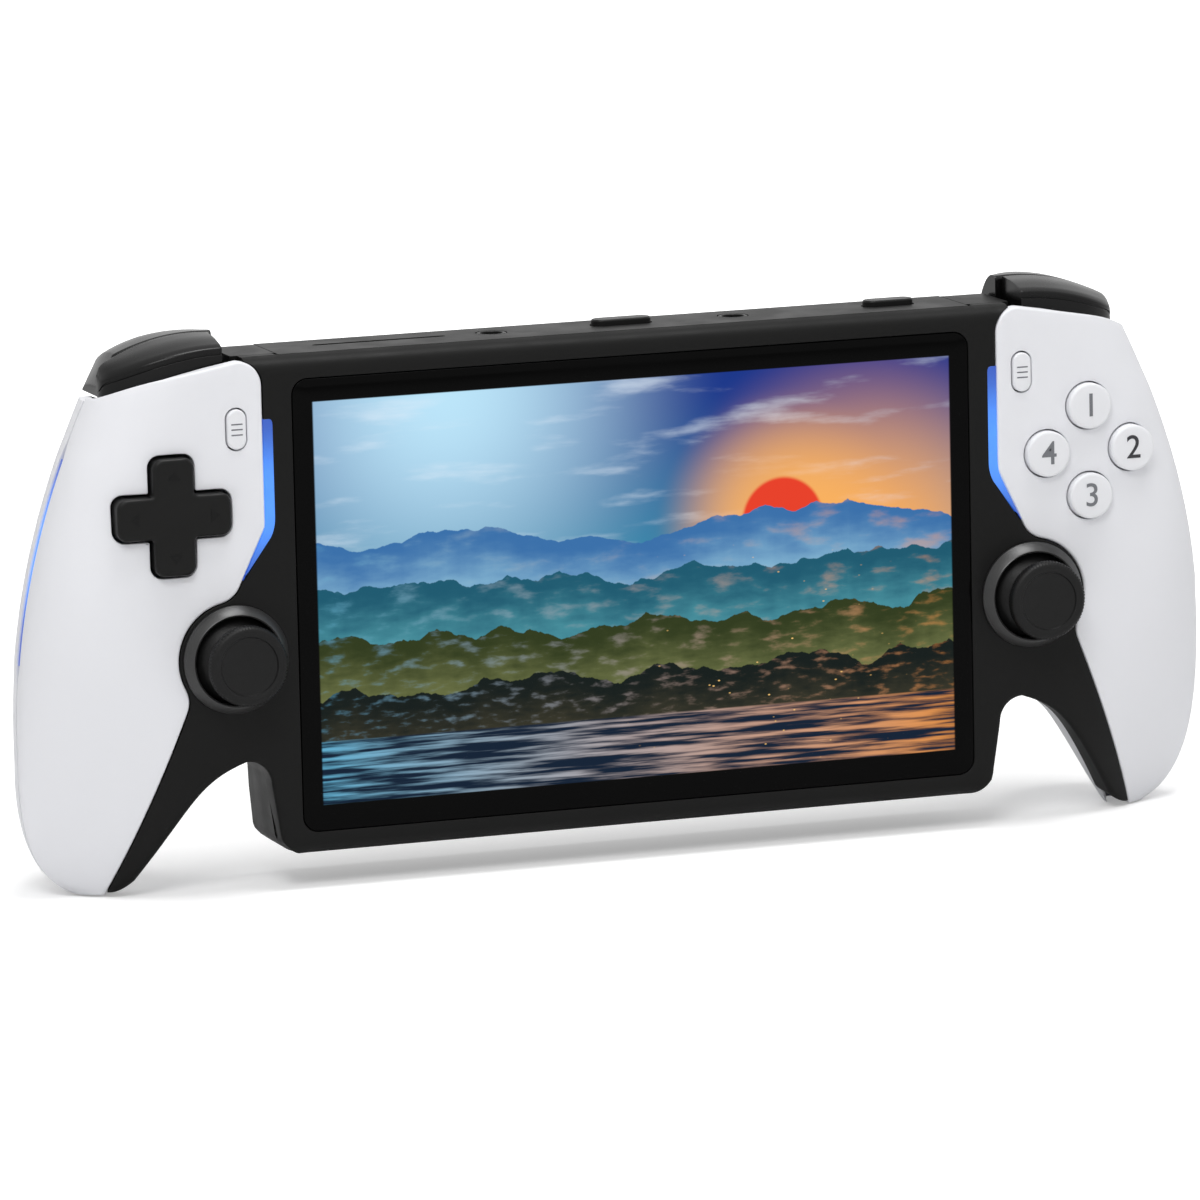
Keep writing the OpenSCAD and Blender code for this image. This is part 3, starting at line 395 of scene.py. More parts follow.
def mesh_region(loops, rings, extra):
    """Triangulates between loops. Rings and extra points are kept as vertices."""
    flat = [p for ring in rings for p in ring] + extra
    edges, first = [], 0
    for ring in rings:
        n = len(ring)
        edges += [(first + k, first + (k + 1) % n) for k in range(n)]
        first += n
    verts, _, tris, origin, _, _ = delaunay_2d_cdt(flat, edges, [], 0, 1e-7)
    index = [o[0] if o else -1 for o in origin]
    middle = np.array([np.mean([verts[v][:] for v in t], axis=0) for t in tris])
    inside = in_region(middle, loops)
    faces = [tuple(index[v] for v in t) for t, ok in zip(tris, inside) if ok]
    return flat, [f for f in faces if min(f) >= 0]


def inset(loop, sizes):
    """Moves a loop inwards, each point by its own size."""
    out = []
    for k, p in enumerate(loop):
        a = (p - loop[k - 1]).normalized()
        b = (loop[(k + 1) % len(loop)] - p).normalized()
        normal = (turn(a) + turn(b)).normalized()
        out.append(p + normal * sizes[k] / max(0.6, normal.dot(turn(a))))
    return out


def surface_normal(shape, p, q, d=0.02):
    across = shape(p + d, q) - shape(p - d, q)
    along = shape(p, q + d) - shape(p, q - d)
    return across.cross(along).normalized()


def relief(name, loops, shape, edge, depth, spacing, mirror=False, step=None, wall_to=None, turns=4):
    """Closed plate over a curved face: the first loop is its outline, the others are holes.

    edge(p) is the radius of the rounding at a point of a loop, wall_to(point, normal) the
    place where the side wall ends, depth behind the face if it isn't given.
    """
    wall_to = wall_to or (lambda point, normal: point - normal * depth)
    clean = [tidy_loop(loop, step or spacing * 0.7) for loop in loops]
    clean = [loop if (area(loop) > 0) == (k == 0) else loop[::-1] for k, loop in enumerate(clean)]
    rings, drops, radii = [], [], []
    for loop in clean:
        r = [edge(p) for p in loop]
        n = len(r)
        radii.append([sum(r[(k + j) % n] for j in range(-2, 3)) / 5 for k in range(n)])
    for loop, r in zip(clean, radii):
        for k in range(turns + 1):
            a = math.pi / 2 * k / turns
            rings.append(inset(loop, [v * (1 - math.cos(a)) for v in r]))
            drops += [v * (1 - math.sin(a)) for v in r]
    extra = inner_points(clean, spacing, max(map(max, radii)) + spacing * 0.5)
    flat, faces = mesh_region(clean, rings, extra)
    drops += [0.0] * len(extra)
    points = []
    for p, drop in zip(flat, drops):
        point = shape(*p)
        points.append(point - surface_normal(shape, *p) * drop if drop > 1e-6 else point)
    # Walls from the first ring of each loop, then the back
    first, back_index = 0, []
    for loop in clean:
        n = len(loop)
        base = len(points)
        for p in loop:
            points.append(wall_to(shape(*p), surface_normal(shape, *p)))
        for k in range(n):
            j = (k + 1) % n
            faces.append((first + j, first + k, base + k, base + j))
        back_index += range(base, base + n)
        first += n * (turns + 1)
    extra = inner_points(clean, 4 * spacing, 2 * spacing)
    for p in extra:
        back_index.append(len(points))
        points.append(wall_to(shape(*p), surface_normal(shape, *p)))
    _, back = mesh_region(clean, clean, extra)
    faces += [tuple(back_index[v] for v in reversed(t)) for t in back]
    mesh = new_mesh(name, points, faces, mirror)
    smooth(mesh, 40)
    return mesh


def lathe(name, centre, profile, steps, ripple=None):
    """Turns a profile of radius and height round the line that runs out of the front."""
    points, faces = [], []
    n = len(profile)
    for k in range(steps):
        a = 2 * math.pi * k / steps
        for j, (r, h) in enumerate(profile):
            s = r + (ripple(a, j) if ripple else 0)
            points.append((centre[0] + s * math.cos(a), centre[1] - h, centre[2] + s * math.sin(a)))
    for k in range(steps):
        m = (k + 1) % steps
        faces += [(k * n + j, m * n + j, m * n + j + 1, k * n + j + 1) for j in range(n - 1)]
    faces.append([k * n for k in range(steps)][::-1])
    faces.append([k * n + n - 1 for k in range(steps)])
    mesh = new_mesh(name, points, faces)
    fix_normals(mesh)
    smooth(mesh, 32)
    return mesh


def fix_normals(mesh):
    bm = bmesh.new()
    bm.from_mesh(mesh)
    bmesh.ops.remove_doubles(bm, verts=bm.verts, dist=1e-7)
    bmesh.ops.recalc_face_normals(bm, faces=bm.faces)
    bm.to_mesh(mesh)
    bm.free()


def skin(name, outer, inner, mirror):
    """Closed sheet between two grids of points."""
    rows, cols = len(outer), len(outer[0])
    points = [p for row in outer for p in row] + [p for row in inner for p in row]
    rim = [(i, 0) for i in range(rows)] + [(rows - 1, j) for j in range(1, cols)]
    rim += [(i, cols - 1) for i in range(rows - 2, -1, -1)] + [(0, j) for j in range(cols - 2, 0, -1)]
    top = lambda c: c[0] * cols + c[1]
    low = lambda c: rows * cols + c[0] * cols + c[1]
    faces = []
    for i in range(rows - 1):
        for j in range(cols - 1):
            quad = [(i, j), (i, j + 1), (i + 1, j + 1), (i + 1, j)]
            faces += [tuple(map(top, quad)), tuple(map(low, quad[::-1]))]
    for a, b in zip(rim, rim[1:] + rim[:1]):
        faces.append((top(b), top(a), low(a), low(b)))
    mesh = new_mesh(name, points, faces, mirror)
    fix_normals(mesh)
    smooth(mesh, 40)
    return mesh


def loft(name, rings, mirror):
    """Closed solid through a row of rings of equal count."""
    n, m = len(rings[0]), len(rings)
    faces = [tuple(range(n)), tuple((m - 1) * n + k for k in reversed(range(n)))]
    for i in range(m - 1):
        low, high = i * n, (i + 1) * n
        faces += [(low + k, low + (k + 1) % n, high + (k + 1) % n, high + k) for k in range(n)]
    mesh = new_mesh(name, [p for ring in rings for p in ring], faces, mirror)
    fix_normals(mesh)
    return mesh


def rounded(ring, sizes, n=4):
    """Rounds the corners of a closed ring of points with curves."""
    out = []
    for k, p in enumerate(ring):
        a, b = ring[k - 1] - p, ring[(k + 1) % len(ring)] - p
        size = min(sizes[k], 0.48 * a.length, 0.48 * b.length)
        start, end = p + a.normalized() * size, p + b.normalized() * size
        out += curve(start, p, end, n)
    return out


def polish(node, material, bevel, segments=2):
    """Copy of a CAD node with broken edges and even shading."""
    mesh = frame["nodes"][node].data.copy()
    mesh.name = node + ".polished"
    bm = bmesh.new()
    bm.from_mesh(mesh)
    bmesh.ops.remove_doubles(bm, verts=bm.verts, dist=1e-6)
    bmesh.ops.dissolve_limit(bm, angle_limit=math.radians(0.5), verts=bm.verts, edges=bm.edges)
    bm.to_mesh(mesh)
    bm.free()
    add(node + ".piece", mesh, material, BODY_OF[node], [node], bevel=bevel, segments=segments)


# Materials
NODE_SETTINGS = {"operation", "data_type", "interpolation_type", "feature"}


def put(tree, socket, value):
    if isinstance(value, bpy.types.NodeSocket):
        tree.links.new(value, socket)
    else:
        socket.default_value = value


def make(tree, kind, **inputs):
    """Adds a shader node. Inputs named i0, i1 and so on are set by number, others by name."""
    node = tree.nodes.new("ShaderNode" + kind)
    for key, value in inputs.items():
        if key[0] == "i" and key[1:].isdigit():
            put(tree, node.inputs[int(key[1:])], value)
        elif key in NODE_SETTINGS:
            setattr(node, key, value)
        else:
            put(tree, node.inputs[key.replace("_", " ")], value)
    return node


def calc(tree, operation, a, b=0.0, c=0.0):
    return make(tree, "Math", operation=operation, i0=a, i1=b, i2=c).outputs[0]


def blend(tree, share, a, b):
    node = make(tree, "Mix", data_type="RGBA")
    put(tree, node.inputs[0], share)
    put(tree, node.inputs[6], a)
    put(tree, node.inputs[7], b)
    return node.outputs[2]


def ramp(tree, value, low, high, to_low=0.0, to_high=1.0):
    node = make(tree, "MapRange", interpolation_type="SMOOTHSTEP", Value=value)
    node.inputs["From Min"].default_value = low
    node.inputs["From Max"].default_value = high
    node.inputs["To Min"].default_value = to_low
    node.inputs["To Max"].default_value = to_high
    return node.outputs[0]


def noise(tree, vector, scale, detail):
    return make(tree, "TexNoise", Vector=vector, Scale=scale, Detail=detail).outputs[0]


def rgba(r, g, b):
    return (r, g, b, 1.0)


def start_material(name):
    mat = bpy.data.materials.new(name)
    mat.use_nodes = True
    tree = mat.node_tree
    return mat, tree, tree.nodes["Principled BSDF"], make(tree, "TexCoord").outputs["Object"]


def plastic(name, colour, rough, grain, bump, specular, tone=0.06, swing=0.05):
    """Moulded plastic: fine grain, slight change of tone and of gloss over the surface."""
    mat, tree, shader, place = start_material(name)
    broad = noise(tree, place, 45, 3)
    fine = noise(tree, place, grain, 3)
    dark = rgba(*(c * (1 - tone) for c in colour))
    put(tree, shader.inputs["Base Color"], blend(tree, broad, dark, rgba(*colour)))
    sheen = noise(tree, place, 160, 4)
    put(tree, shader.inputs["Roughness"], ramp(tree, sheen, 0.3, 0.7, rough - swing, rough + swing))
    shader.inputs["Specular IOR Level"].default_value = specular
    grain_node = make(tree, "Bump", Strength=bump, Distance=0.0001, Height=fine)
    put(tree, shader.inputs["Normal"], grain_node.outputs[0])
    return mat


def metal(name, colour, rough):
    mat, tree, shader, place = start_material(name)
    stretch = make(tree, "Mapping", Vector=place, Scale=(200, 2500, 2500)).outputs[0]
    streak = noise(tree, stretch, 1.0, 3)
    shader.inputs["Base Color"].default_value = rgba(*colour)
    shader.inputs["Metallic"].default_value = 1
    put(tree, shader.inputs["Roughness"], ramp(tree, streak, 0.3, 0.7, rough - 0.08, rough + 0.08))
    grooves = make(tree, "Bump", Strength=0.1, Distance=0.00005, Height=streak)
    put(tree, shader.inputs["Normal"], grooves.outputs[0])
    return mat


def board_material():
    """Solder resist with paler tracks."""
    mat, tree, shader, place = start_material("board")
    brick = make(tree, "TexBrick", Vector=place, Scale=260)
    brick.inputs["Color1"].default_value = rgba(0.01, 0.1, 0.045)
    brick.inputs["Color2"].default_value = rgba(0.012, 0.13, 0.055)
    brick.inputs["Mortar"].default_value = rgba(0.02, 0.2, 0.08)
    put(tree, shader.inputs["Base Color"], brick.outputs[0])
    shader.inputs["Roughness"].default_value = 0.35
    return mat


def light_material(name, low, high):
    """Lit guide, deeper blue towards its ends."""
    mat, tree, shader, place = start_material(name)
    z = make(tree, "SeparateXYZ", Vector=place).outputs[2]
    low_z, high_z = (to_frame((0, 0, v)).z for v in (low, high))
    third = (high_z - low_z) * 0.4
    rise = ramp(tree, z, low_z, low_z + third)
    fall = ramp(tree, z, high_z, high_z - third)
    share = calc(tree, "MULTIPLY", rise, fall)
    speck = ramp(tree, noise(tree, place, 900, 2), 0.2, 0.8, 0.9, 1.0)
    glow = calc(tree, "MULTIPLY", share, speck)
    deep, bright = rgba(0.012, 0.05, 0.36), rgba(0.07, 0.3, 1.0)
    put(tree, shader.inputs["Emission Color"], blend(tree, glow, deep, bright))
    shader.inputs["Emission Strength"].default_value = 0.95
    shader.inputs["Base Color"].default_value = rgba(0.02, 0.06, 0.2)
    shader.inputs["Roughness"].default_value = 0.3
    return mat


def picture(tree, place):
    """Generic lake below layered hills and a low sun, in screen shares u and v."""
    split = make(tree, "SeparateXYZ", Vector=place)
    u = calc(tree, "MULTIPLY_ADD", split.outputs[0], 1 / (lcd_w * MM), 0.5)
    v = calc(tree, "MULTIPLY_ADD", calc(tree, "SUBTRACT", split.outputs[2], mid_z), 1 / (lcd_h * MM), 0.5)

    def away(cu, cv):
        du = calc(tree, "MULTIPLY", calc(tree, "SUBTRACT", u, cu), lcd_w / lcd_h)
        dv = calc(tree, "SUBTRACT", v, cv)
        squares = calc(tree, "ADD", calc(tree, "POWER", du, 2.0), calc(tree, "POWER", dv, 2.0))
        return calc(tree, "SQRT", squares)

    flat = make(tree, "CombineXYZ", X=u, Y=v).outputs[0]

    def stretched(across, along):
        return make(tree, "Mapping", Vector=flat, Scale=(across, along, 1)).outputs[0]

    sky = blend(tree, ramp(tree, v, 0.35, 1.0), rgba(0.03, 0.28, 0.42), rgba(0.008, 0.035, 0.25))
    sky = blend(tree, ramp(tree, away(0.2, 1.0), 0.75, 0.0), sky, rgba(0.5, 0.78, 0.95))
    sky = blend(tree, ramp(tree, away(0.86, 0.5), 0.6, 0.05), sky, rgba(0.95, 0.42, 0.1))
    cloud = noise(tree, stretched(3, 9), 1.6, 6)
    sky = blend(tree, ramp(tree, cloud, 0.52, 0.75, 0, 0.55), sky, rgba(0.75, 0.85, 0.95))
    sun = away(0.73, 0.62)
    sky = blend(tree, ramp(tree, sun, 0.34, 0.08, 0, 0.75), sky, rgba(1.0, 0.46, 0.1))
    image = blend(tree, ramp(tree, sun, 0.112, 0.1), sky, rgba(0.8, 0.05, 0.02))
    hills = (
        (0.60, 0.24, 2.3, (0.04, 0.16, 0.40), (0.24, 0.48, 0.66)),
        (0.48, 0.22, 3.4, (0.010, 0.10, 0.16), (0.07, 0.30, 0.36)),
        (0.37, 0.18, 4.6, (0.028, 0.042, 0.010), (0.15, 0.17, 0.06)),
        (0.25, 0.14, 6.1, (0.005, 0.010, 0.009), (0.05, 0.045, 0.025)),
    )
    glint = blend(tree, u, rgba(0.12, 0.42, 0.62), rgba(0.75, 0.28, 0.06))
    for k, (base, swing, pitch, crest, mist) in enumerate(hills):
        shift = make(tree, "CombineXYZ", X=calc(tree, "MULTIPLY", u, pitch), Y=3.7 * k + 1.3)
        rough = noise(tree, shift.outputs[0], 1.0, 9)
        fold = calc(tree, "ABSOLUTE", calc(tree, "MULTIPLY_ADD", rough, 2.0, -1.0))
        under = calc(tree, "SUBTRACT", calc(tree, "MULTIPLY_ADD", fold, -swing, base + swing / 4), v)
        slope = noise(tree, stretched(pitch * 2.2, pitch * 3.5), 2.4, 8)
        haze = calc(tree, "MULTIPLY_ADD", slope, 0.16, calc(tree, "SUBTRACT", under, 0.08))
        body = blend(tree, ramp(tree, haze, 0.0, 0.2), rgba(*crest), rgba(*mist))
        body = blend(tree, ramp(tree, slope, 0.52, 0.74, 0.0, 0.4), body, glint)
        image = blend(tree, ramp(tree, under, -0.0015, 0.0015), image, body)
    shine = ramp(tree, noise(tree, stretched(4, 46), 1.5, 5), 0.42, 0.66)
    lake = blend(tree, shine, rgba(0.004, 0.014, 0.035), glint)
    image = blend(tree, ramp(tree, v, 0.158, 0.152), image, lake)
    spark = make(tree, "TexVoronoi", Vector=flat, Scale=34, feature="F1").outputs[0]
    near = ramp(tree, away(0.7, 0.25), 0.45, 0.1)
    dots = calc(tree, "MULTIPLY", ramp(tree, spark, 0.09, 0.02), near)
    return blend(tree, dots, image, rgba(1.0, 0.62, 0.2)), u, v


def lens_material():
    """Black printed border round the lit picture, under one sheet of glass."""
    mat, tree, shader, place = start_material("lens")
    image, u, v = picture(tree, place)
    soft = 0.0015
    off_middle = [calc(tree, "ABSOLUTE", calc(tree, "SUBTRACT", share, 0.5)) for share in (u, v)]
    lit = calc(tree, "MULTIPLY", *(ramp(tree, d, 0.5 + soft, 0.5 - soft) for d in off_middle))
    put(tree, shader.inputs["Emission Color"], blend(tree, lit, rgba(0, 0, 0), image))
    shader.inputs["Emission Strength"].default_value = 1.0
    shader.inputs["Base Color"].default_value = rgba(0.0015, 0.0015, 0.0015)
    smear = noise(tree, place, 60, 4)
    put(tree, shader.inputs["Roughness"], ramp(tree, smear, 0.3, 0.8, 0.05, 0.12))
    shader.inputs["Specular IOR Level"].default_value = 0.045
    return mat


white = plastic("shell_white", (0.77, 0.775, 0.805), 0.42, 2600, 0.05, 0.3, tone=0.015)
key_white = plastic("key_white", (0.77, 0.775, 0.80), 0.36, 2600, 0.03, 0.35, tone=0.01)
black = plastic("shell_black", (0.0062, 0.0062, 0.006), 0.45, 2400, 0.10, 0.13, tone=0.12)
strip_black = plastic("strip_black", (0.009, 0.009, 0.0087), 0.5, 2400, 0.12, 0.2, tone=0.12)
gloss = plastic("shoulder_black", (0.003, 0.003, 0.003), 0.24, 900, 0.01, 0.22, tone=0.1, swing=0.04)
satin = plastic("key_black", (0.0062, 0.0062, 0.006), 0.36, 1800, 0.04, 0.16, tone=0.1)
rubber = plastic("stick_rubber", (0.0062, 0.0062, 0.0062), 0.45, 1700, 0.3, 0.2, tone=0.15)
collar_black = plastic("collar_black", (0.012, 0.012, 0.012), 0.36, 2000, 0.05, 0.6, tone=0.1)
mark_grey = plastic("mark_grey", (0.17, 0.175, 0.19), 0.5, 1800, 0.03, 0.3)
mark_dark = plastic("mark_dark", (0.035, 0.035, 0.04), 0.5, 1800, 0.03, 0.3)
mark_faint = plastic("mark_faint", (0.004, 0.004, 0.004), 0.5, 1800, 0.05, 0.16)
dome_rubber = plastic("dome_rubber", (0.2, 0.2, 0.21), 0.7, 1500, 0.15, 0.3)
inner_grey = plastic("inner_plastic", (0.03, 0.03, 0.032), 0.55, 1800, 0.1, 0.3)
foil = plastic("battery", (0.3, 0.31, 0.33), 0.35, 300, 0.25, 0.5)
steel = metal("steel", (0.6, 0.6, 0.62), 0.3)
board = board_material()
lens_glass = lens_material()
inner_glow = light_material("inner_light", 4, light_top)
side_glow = light_material("side_light", side_light_z[0] + 4, side_light_z[1])

MATERIAL_OF_SLOT = {
    "shell_white": white, "shell_black": black, "shoulder_black": gloss, "key_black": satin,
    "key_white": key_white, "stick_rubber": rubber, "lens": lens_glass, "display": lens_glass,
    "light": inner_glow, "dome_rubber": dome_rubber, "inner_plastic": inner_grey, "steel": steel,
    "board": board, "battery": foil,
}
for node, obj in frame["nodes"].items():
    obj.data.materials.clear()
    obj.data.materials.append(MATERIAL_OF_SLOT[SLOT_OF[node]])
for side in ("left", "right"):
    frame["nodes"][side + "_side_light"].data.materials[0] = side_glow


# Front frame: the upper and lower front edges roll back, the legs bend
top_start = body_top - front_round
low_start = body_bottom + front_round


def frame_flat(x, z):
    """Place of a point of the frame along its unrolled front."""
    if z > top_start:
        z = top_start + front_round * math.asin(clamp((z - top_start) / front_round))
    elif z < low_start and abs(x) < arch_x:
        z = low_start - front_round * math.asin(clamp((low_start - z) / front_round))
    return Vector((x, z))


def frame_point(x, q):
    if q > top_start:
        a = (q - top_start) / front_round
        return Vector((x, front_round * (1 - math.cos(a)), top_start + front_round * math.sin(a)))
    if q < low_start and abs(x) < arch_x:
        a = (low_start - q) / front_round
        return Vector((x, front_round * (1 - math.cos(a)), low_start - front_round * math.sin(a)))
    return Vector((x, bend_y(abs(x), q), q))


def frame_wall(point, normal):
    if point.z > top_start + 1 and abs(point.x) < strip_x + 2 * gap:
        return point - Vector((0, 0, 2))
    if point.z > top_start or (point.z < low_start and abs(point.x) < arch_x):
        return Vector((point.x, frame_t, point.z))
    return point - normal * frame_t


def frame_half():
    """Right half of the frame's outline, from the middle of the chin up to the middle of the top."""
    leg = [Vector((leg_x(z), z)) for z in (lerp(arch_z, tip_z, toe_start * k / 40) for k in range(1, 41))]
    half = [Vector((0, body_bottom))]
    half += arc((chin_x - chin_r, body_bottom + chin_r), chin_r, -90, 0, 10)
    half += arc((arch_x, arch_z - arch_r), arch_r, 180, 90, 12) + leg
    inner = [p for p in boundary(gap) if p.x < half_w + panel_corner_r * 0.7 or p.y < kink_z]
    inner[-1] = inner[-2].lerp(inner[-1], 0.97)
    half += curve(leg[-1], (leg[-1] + inner[-1]) / 2 - Vector((0, toe_round)), inner[-1])[1:-1]
    half += inner[::-1]
    half += [Vector((inner[0].x, body_top)), Vector((strip_x + gap, body_top))]
    out = [frame_flat(*p) for p in tidy_loop_open(half, 0.7)]
    seam = top_start + front_round * math.acos(1 - (strip_front - gap) / front_round)
    return out + [Vector((strip_x + gap, seam)), Vector((0, seam))]


def tidy_loop_open(path, step):
    out = []
    for a, b in zip(path, path[1:]):
        n = max(1, math.ceil((b - a).length / step))
        out += [a.lerp(b, k / n) for k in range(n)]
    return out + [path[-1]]


def mirrored(loop):
    return [Vector((-p.x, p.y)) for p in loop]


def light_loop(g):
    """Outline of the light guide beside the screen, grown by g."""
    w, top = inner_light_w + g, light_top + g
    out_x = half_w - light_edge + 2 * g
    run = stick_at + Vector((0, plate_r)) - kink
    off = -turn(kink_dir)
    a = Vector((out_x, kink_z))
    b = a + run * light_share
    low = Vector((half_w - w, kink_z - w * math.tan(math.radians(bearing(kink_dir) + 90) / 2)))
    end = b + off * w * 0.6 - kink_dir * w
    loop = [Vector((out_x, top))]
    loop += curve(a.lerp(Vector((out_x, light_top)), 0.12), a, a.lerp(b, 0.2)) + [b]
    loop += curve(low.lerp(end, 0.2), low, Vector((low.x, low.y + 2)))
    return loop + curve(Vector((low.x, top - 1)), Vector((low.x, top)), Vector((low.x + 0.6, top)), 4)


fine_edge, lens_edge, arch_edge = 0.1, 0.15, 0.9


def frame_edge(p):
    x = abs(p.x)
    if p.y > top_start + 1:
        return fine_edge
    if x < half_w - 3 and p.y < low_start:
        return fine_edge
    if x < lens_x + 1 and lens_lo - 1 < p.y < lens_hi + 1:
        return lens_edge
    if (Vector((x, p.y)) - stick_at).length < plate_r - 1:
        return fine_edge
    if p.y < arch_z + 1 and x - leg_x(p.y) < 1:
        return clamp(0.3 * (edge_x(p.y) - leg_x(p.y)) - 0.15, 0.05, arch_edge)
    if p.y < arch_z and x < arch_x + 1:
        return arch_edge
    return fine_edge


right = frame_half()
outline = right + mirrored(right)[::-1]
window = round_rect(-lens_x - gap, lens_x + gap, lens_lo - gap, lens_hi + gap, lens_r + gap, 10)
well_r = math.sqrt((dome_r + 0.4) ** 2 - pivot_y ** 2)
well = arc(stick_at, well_r, 0, 360, 60)[:-1]
light_hole = light_loop(-gap)
loops = [outline, window, light_hole, mirrored(light_hole), well, mirrored(well)]
mesh = relief("front_frame.piece", loops, frame_point, frame_edge, frame_t, 1.3, wall_to=frame_wall)
add("front_frame.piece", mesh, black, "case", ["front_frame"], angle=40)


# Light guides: flush strips beside the screen, lofted strips in the grip seams
def side_ring(z):
    x, y, h = outer_x(z) - side_sink, seam_y(z), light_w / 2
    corners = ((x - side_depth, y - h), (x, y - h), (x, y + h), (x - side_depth, y + h))
    return rounded([Vector((*p, z)) for p in corners], (0.05, side_edge, side_edge, 0.05), 3)


side_rings = [side_ring(lerp(*side_light_z, k / 40)) for k in range(41)]
for side, loop in (("left", mirrored(light_loop(0))), ("right", light_loop(0))):
    name = side + "_inner_light"
    mesh = relief(name + ".piece", [loop], flat_face(-light_proud), lambda p: fine_edge, light_depth, 0.5)
    add(name + ".piece", mesh, inner_glow, "case", [name])
    name = side + "_side_light"
    mesh = loft(name + ".piece", side_rings, side == "left")
    add(name + ".piece", mesh, side_glow, "case", [name])

# Lens
mesh = relief("screen_lens.piece", [round_rect(-lens_x, lens_x, lens_lo, lens_hi, lens_r, 10)],
              flat_face(0), lambda p: lens_edge, lens_t, 4)
add("screen_lens.piece", mesh, lens_glass, "case", ["screen_lens"], angle=40)


# Front panels
def panel_loop():
    end = tip_z + 0.3
    path = [p for p in tidy_loop_open(edge_path, 0.7) if p.y > end + 0.3]
    loop = [unroll(*p) for p in path] + [Vector((edge_x(end), end))]
    for k in range(70):
        a = math.pi / 2 * (1 - k / 70)
        z = max(end, wide_z - (wide_z - tip_z) * math.sin(a) ** (2 / outer_n))
        start, _, length = roll_of(z)
        if z > end or k == 0:
            loop.append(Vector((start + length, z)))
    for k in range(90):
        z = lerp(wide_z, panel_top - corner_drop, k / 89)
        start, _, length = roll_of(z)
        loop.append(Vector((start + length, z)))
    for k in range(60, 0, -1):
        t = k / 60
        z = panel_top - corner_drop * lerp(t ** top_n, t, top_lean)
        x = lerp(edge_path[0].x, outer_x(z), t)
        if t < 0.995:
            loop.append(unroll(x, z))
    return loop


def panel(side, holes):
    name = side + "_front_panel"
    unrolled = [[unroll(*p) for p in hole] for hole in holes]
    mesh = relief(name + ".piece", [panel_loop()] + unrolled, panel_point, panel_edge, panel_t, 1.2,
                  mirror=side == "left", step=0.6)
    add(name + ".piece", mesh, white, "case", [name], angle=40)


seam_edge, rim_edge, hole_edge = 0.25, 0.45, 0.18


def panel_edge(p):
    if p.x > roll_of(p.y)[0] + 6:
        return seam_edge
    if abs(p.x - edge_x(p.y)) < 1.5 or p.y > panel_top - corner_drop:
        return rim_edge
    return hole_edge


pill_hole = pill_loop(pill_x, pill_z, pill_w + 2 * key_gap, pill_l + 2 * key_gap)
cross_gap = 2 * (key_gap + dpad_play)
cross_hole = cross_loop(dpad_x, dpad_z, dpad_span + cross_gap, dpad_arm + cross_gap, dpad_r + key_gap)
face_at = [Vector((face_x + face_pitch * math.cos(a), face_z + face_pitch * math.sin(a)))
           for a in (math.pi / 2, 0, -math.pi / 2, math.pi)]
face_holes = [arc(c, face_d / 2 + key_gap, 0, 360, 48)[:-1] for c in face_at]
panel("left", [pill_hole, cross_hole])
panel("right", [pill_hole] + face_holes)


# Rear shells
def shell_point(z, s, inset_by):
    x0 = leg_x(z) + gap + inset_by * 1.3
    x1 = outer_x(z) - inset_by
    y0, y1 = rim_y(x0, z), seam_y(z) + seam_half(z)
    yb = back_y(z) - inset_by
    xm = lerp(x0, x1, shell_apex)
    power = 2 / shell_n
    if s < 0.5:
        a = math.pi * s
        x = xm + (x1 - xm) * max(0, math.cos(a)) ** power
        y = y1 + (yb - y1) * math.sin(a) ** power
    else:
        a = math.pi * (s - 0.5)
        x = xm - (xm - x0) * math.sin(a) ** power
        y = y0 + (yb - y0) * max(0, math.cos(a)) ** power
    fall = clamp((z - shell_fade) / (shell_top - shell_fade)) * swing_slope * max(0, y - trigger_pin_y)
    return Vector((x, y, z - fall))


low_z, bend_top, bend_low = tip_z + 0.1, arch_z + 2, arch_z - 3
shell_rows = [lerp(shell_top, bend_top, k / 44) for k in range(44)]
shell_rows += [lerp(bend_top, bend_low, k / 20) for k in range(20)]
shell_rows += [lerp(bend_low, low_z, p.y) for p in arc((0, 0), 1, 0, 90, 40)]
shell_cols = [k / 64 for k in range(65)]
for side in ("left", "right"):
    name = side + "_rear_shell"
    sheet = [[[shell_point(z, s, t * clamp((z - tip_z) / 8, 0.05)) for s in shell_cols] for z in shell_rows]
             for t in (0, wall)]
    mesh = skin(name + ".piece", *sheet, mirror=side == "left")
    add(name + ".piece", mesh, white, "case", [name], bevel=0.25, segments=2, angle=50)


# Shoulder keys
shoulder_in, shoulder_end = half_w + 5.6, half_w + 24
shoulder_rise, ridge_drop = 3.3, 1.7
crown_fall, ridge_fall = 0.0165, 0.0135
trigger_end_h, trigger_end_rise = 1.2, 1.9
end_wall, end_round = 1.4, 1.3
trigger_end = shoulder_end - 0.4
bumper_gap, trigger_gap = 0.6, 0.5
crease_low, crease_high, crease_d = 1.05, 0.7, 0.4
bumper_back, bumper_t = seam_depth, 1.7
bumper_skirt = body_top - 6


def crown_z(x):
    return body_top + shoulder_rise - crown_fall * (max(x, shoulder_in) - shoulder_in - 2) ** 2


def ridge_z(x):
    return body_top + shoulder_rise - ridge_drop - ridge_fall * max(0, x - shoulder_in) ** 2


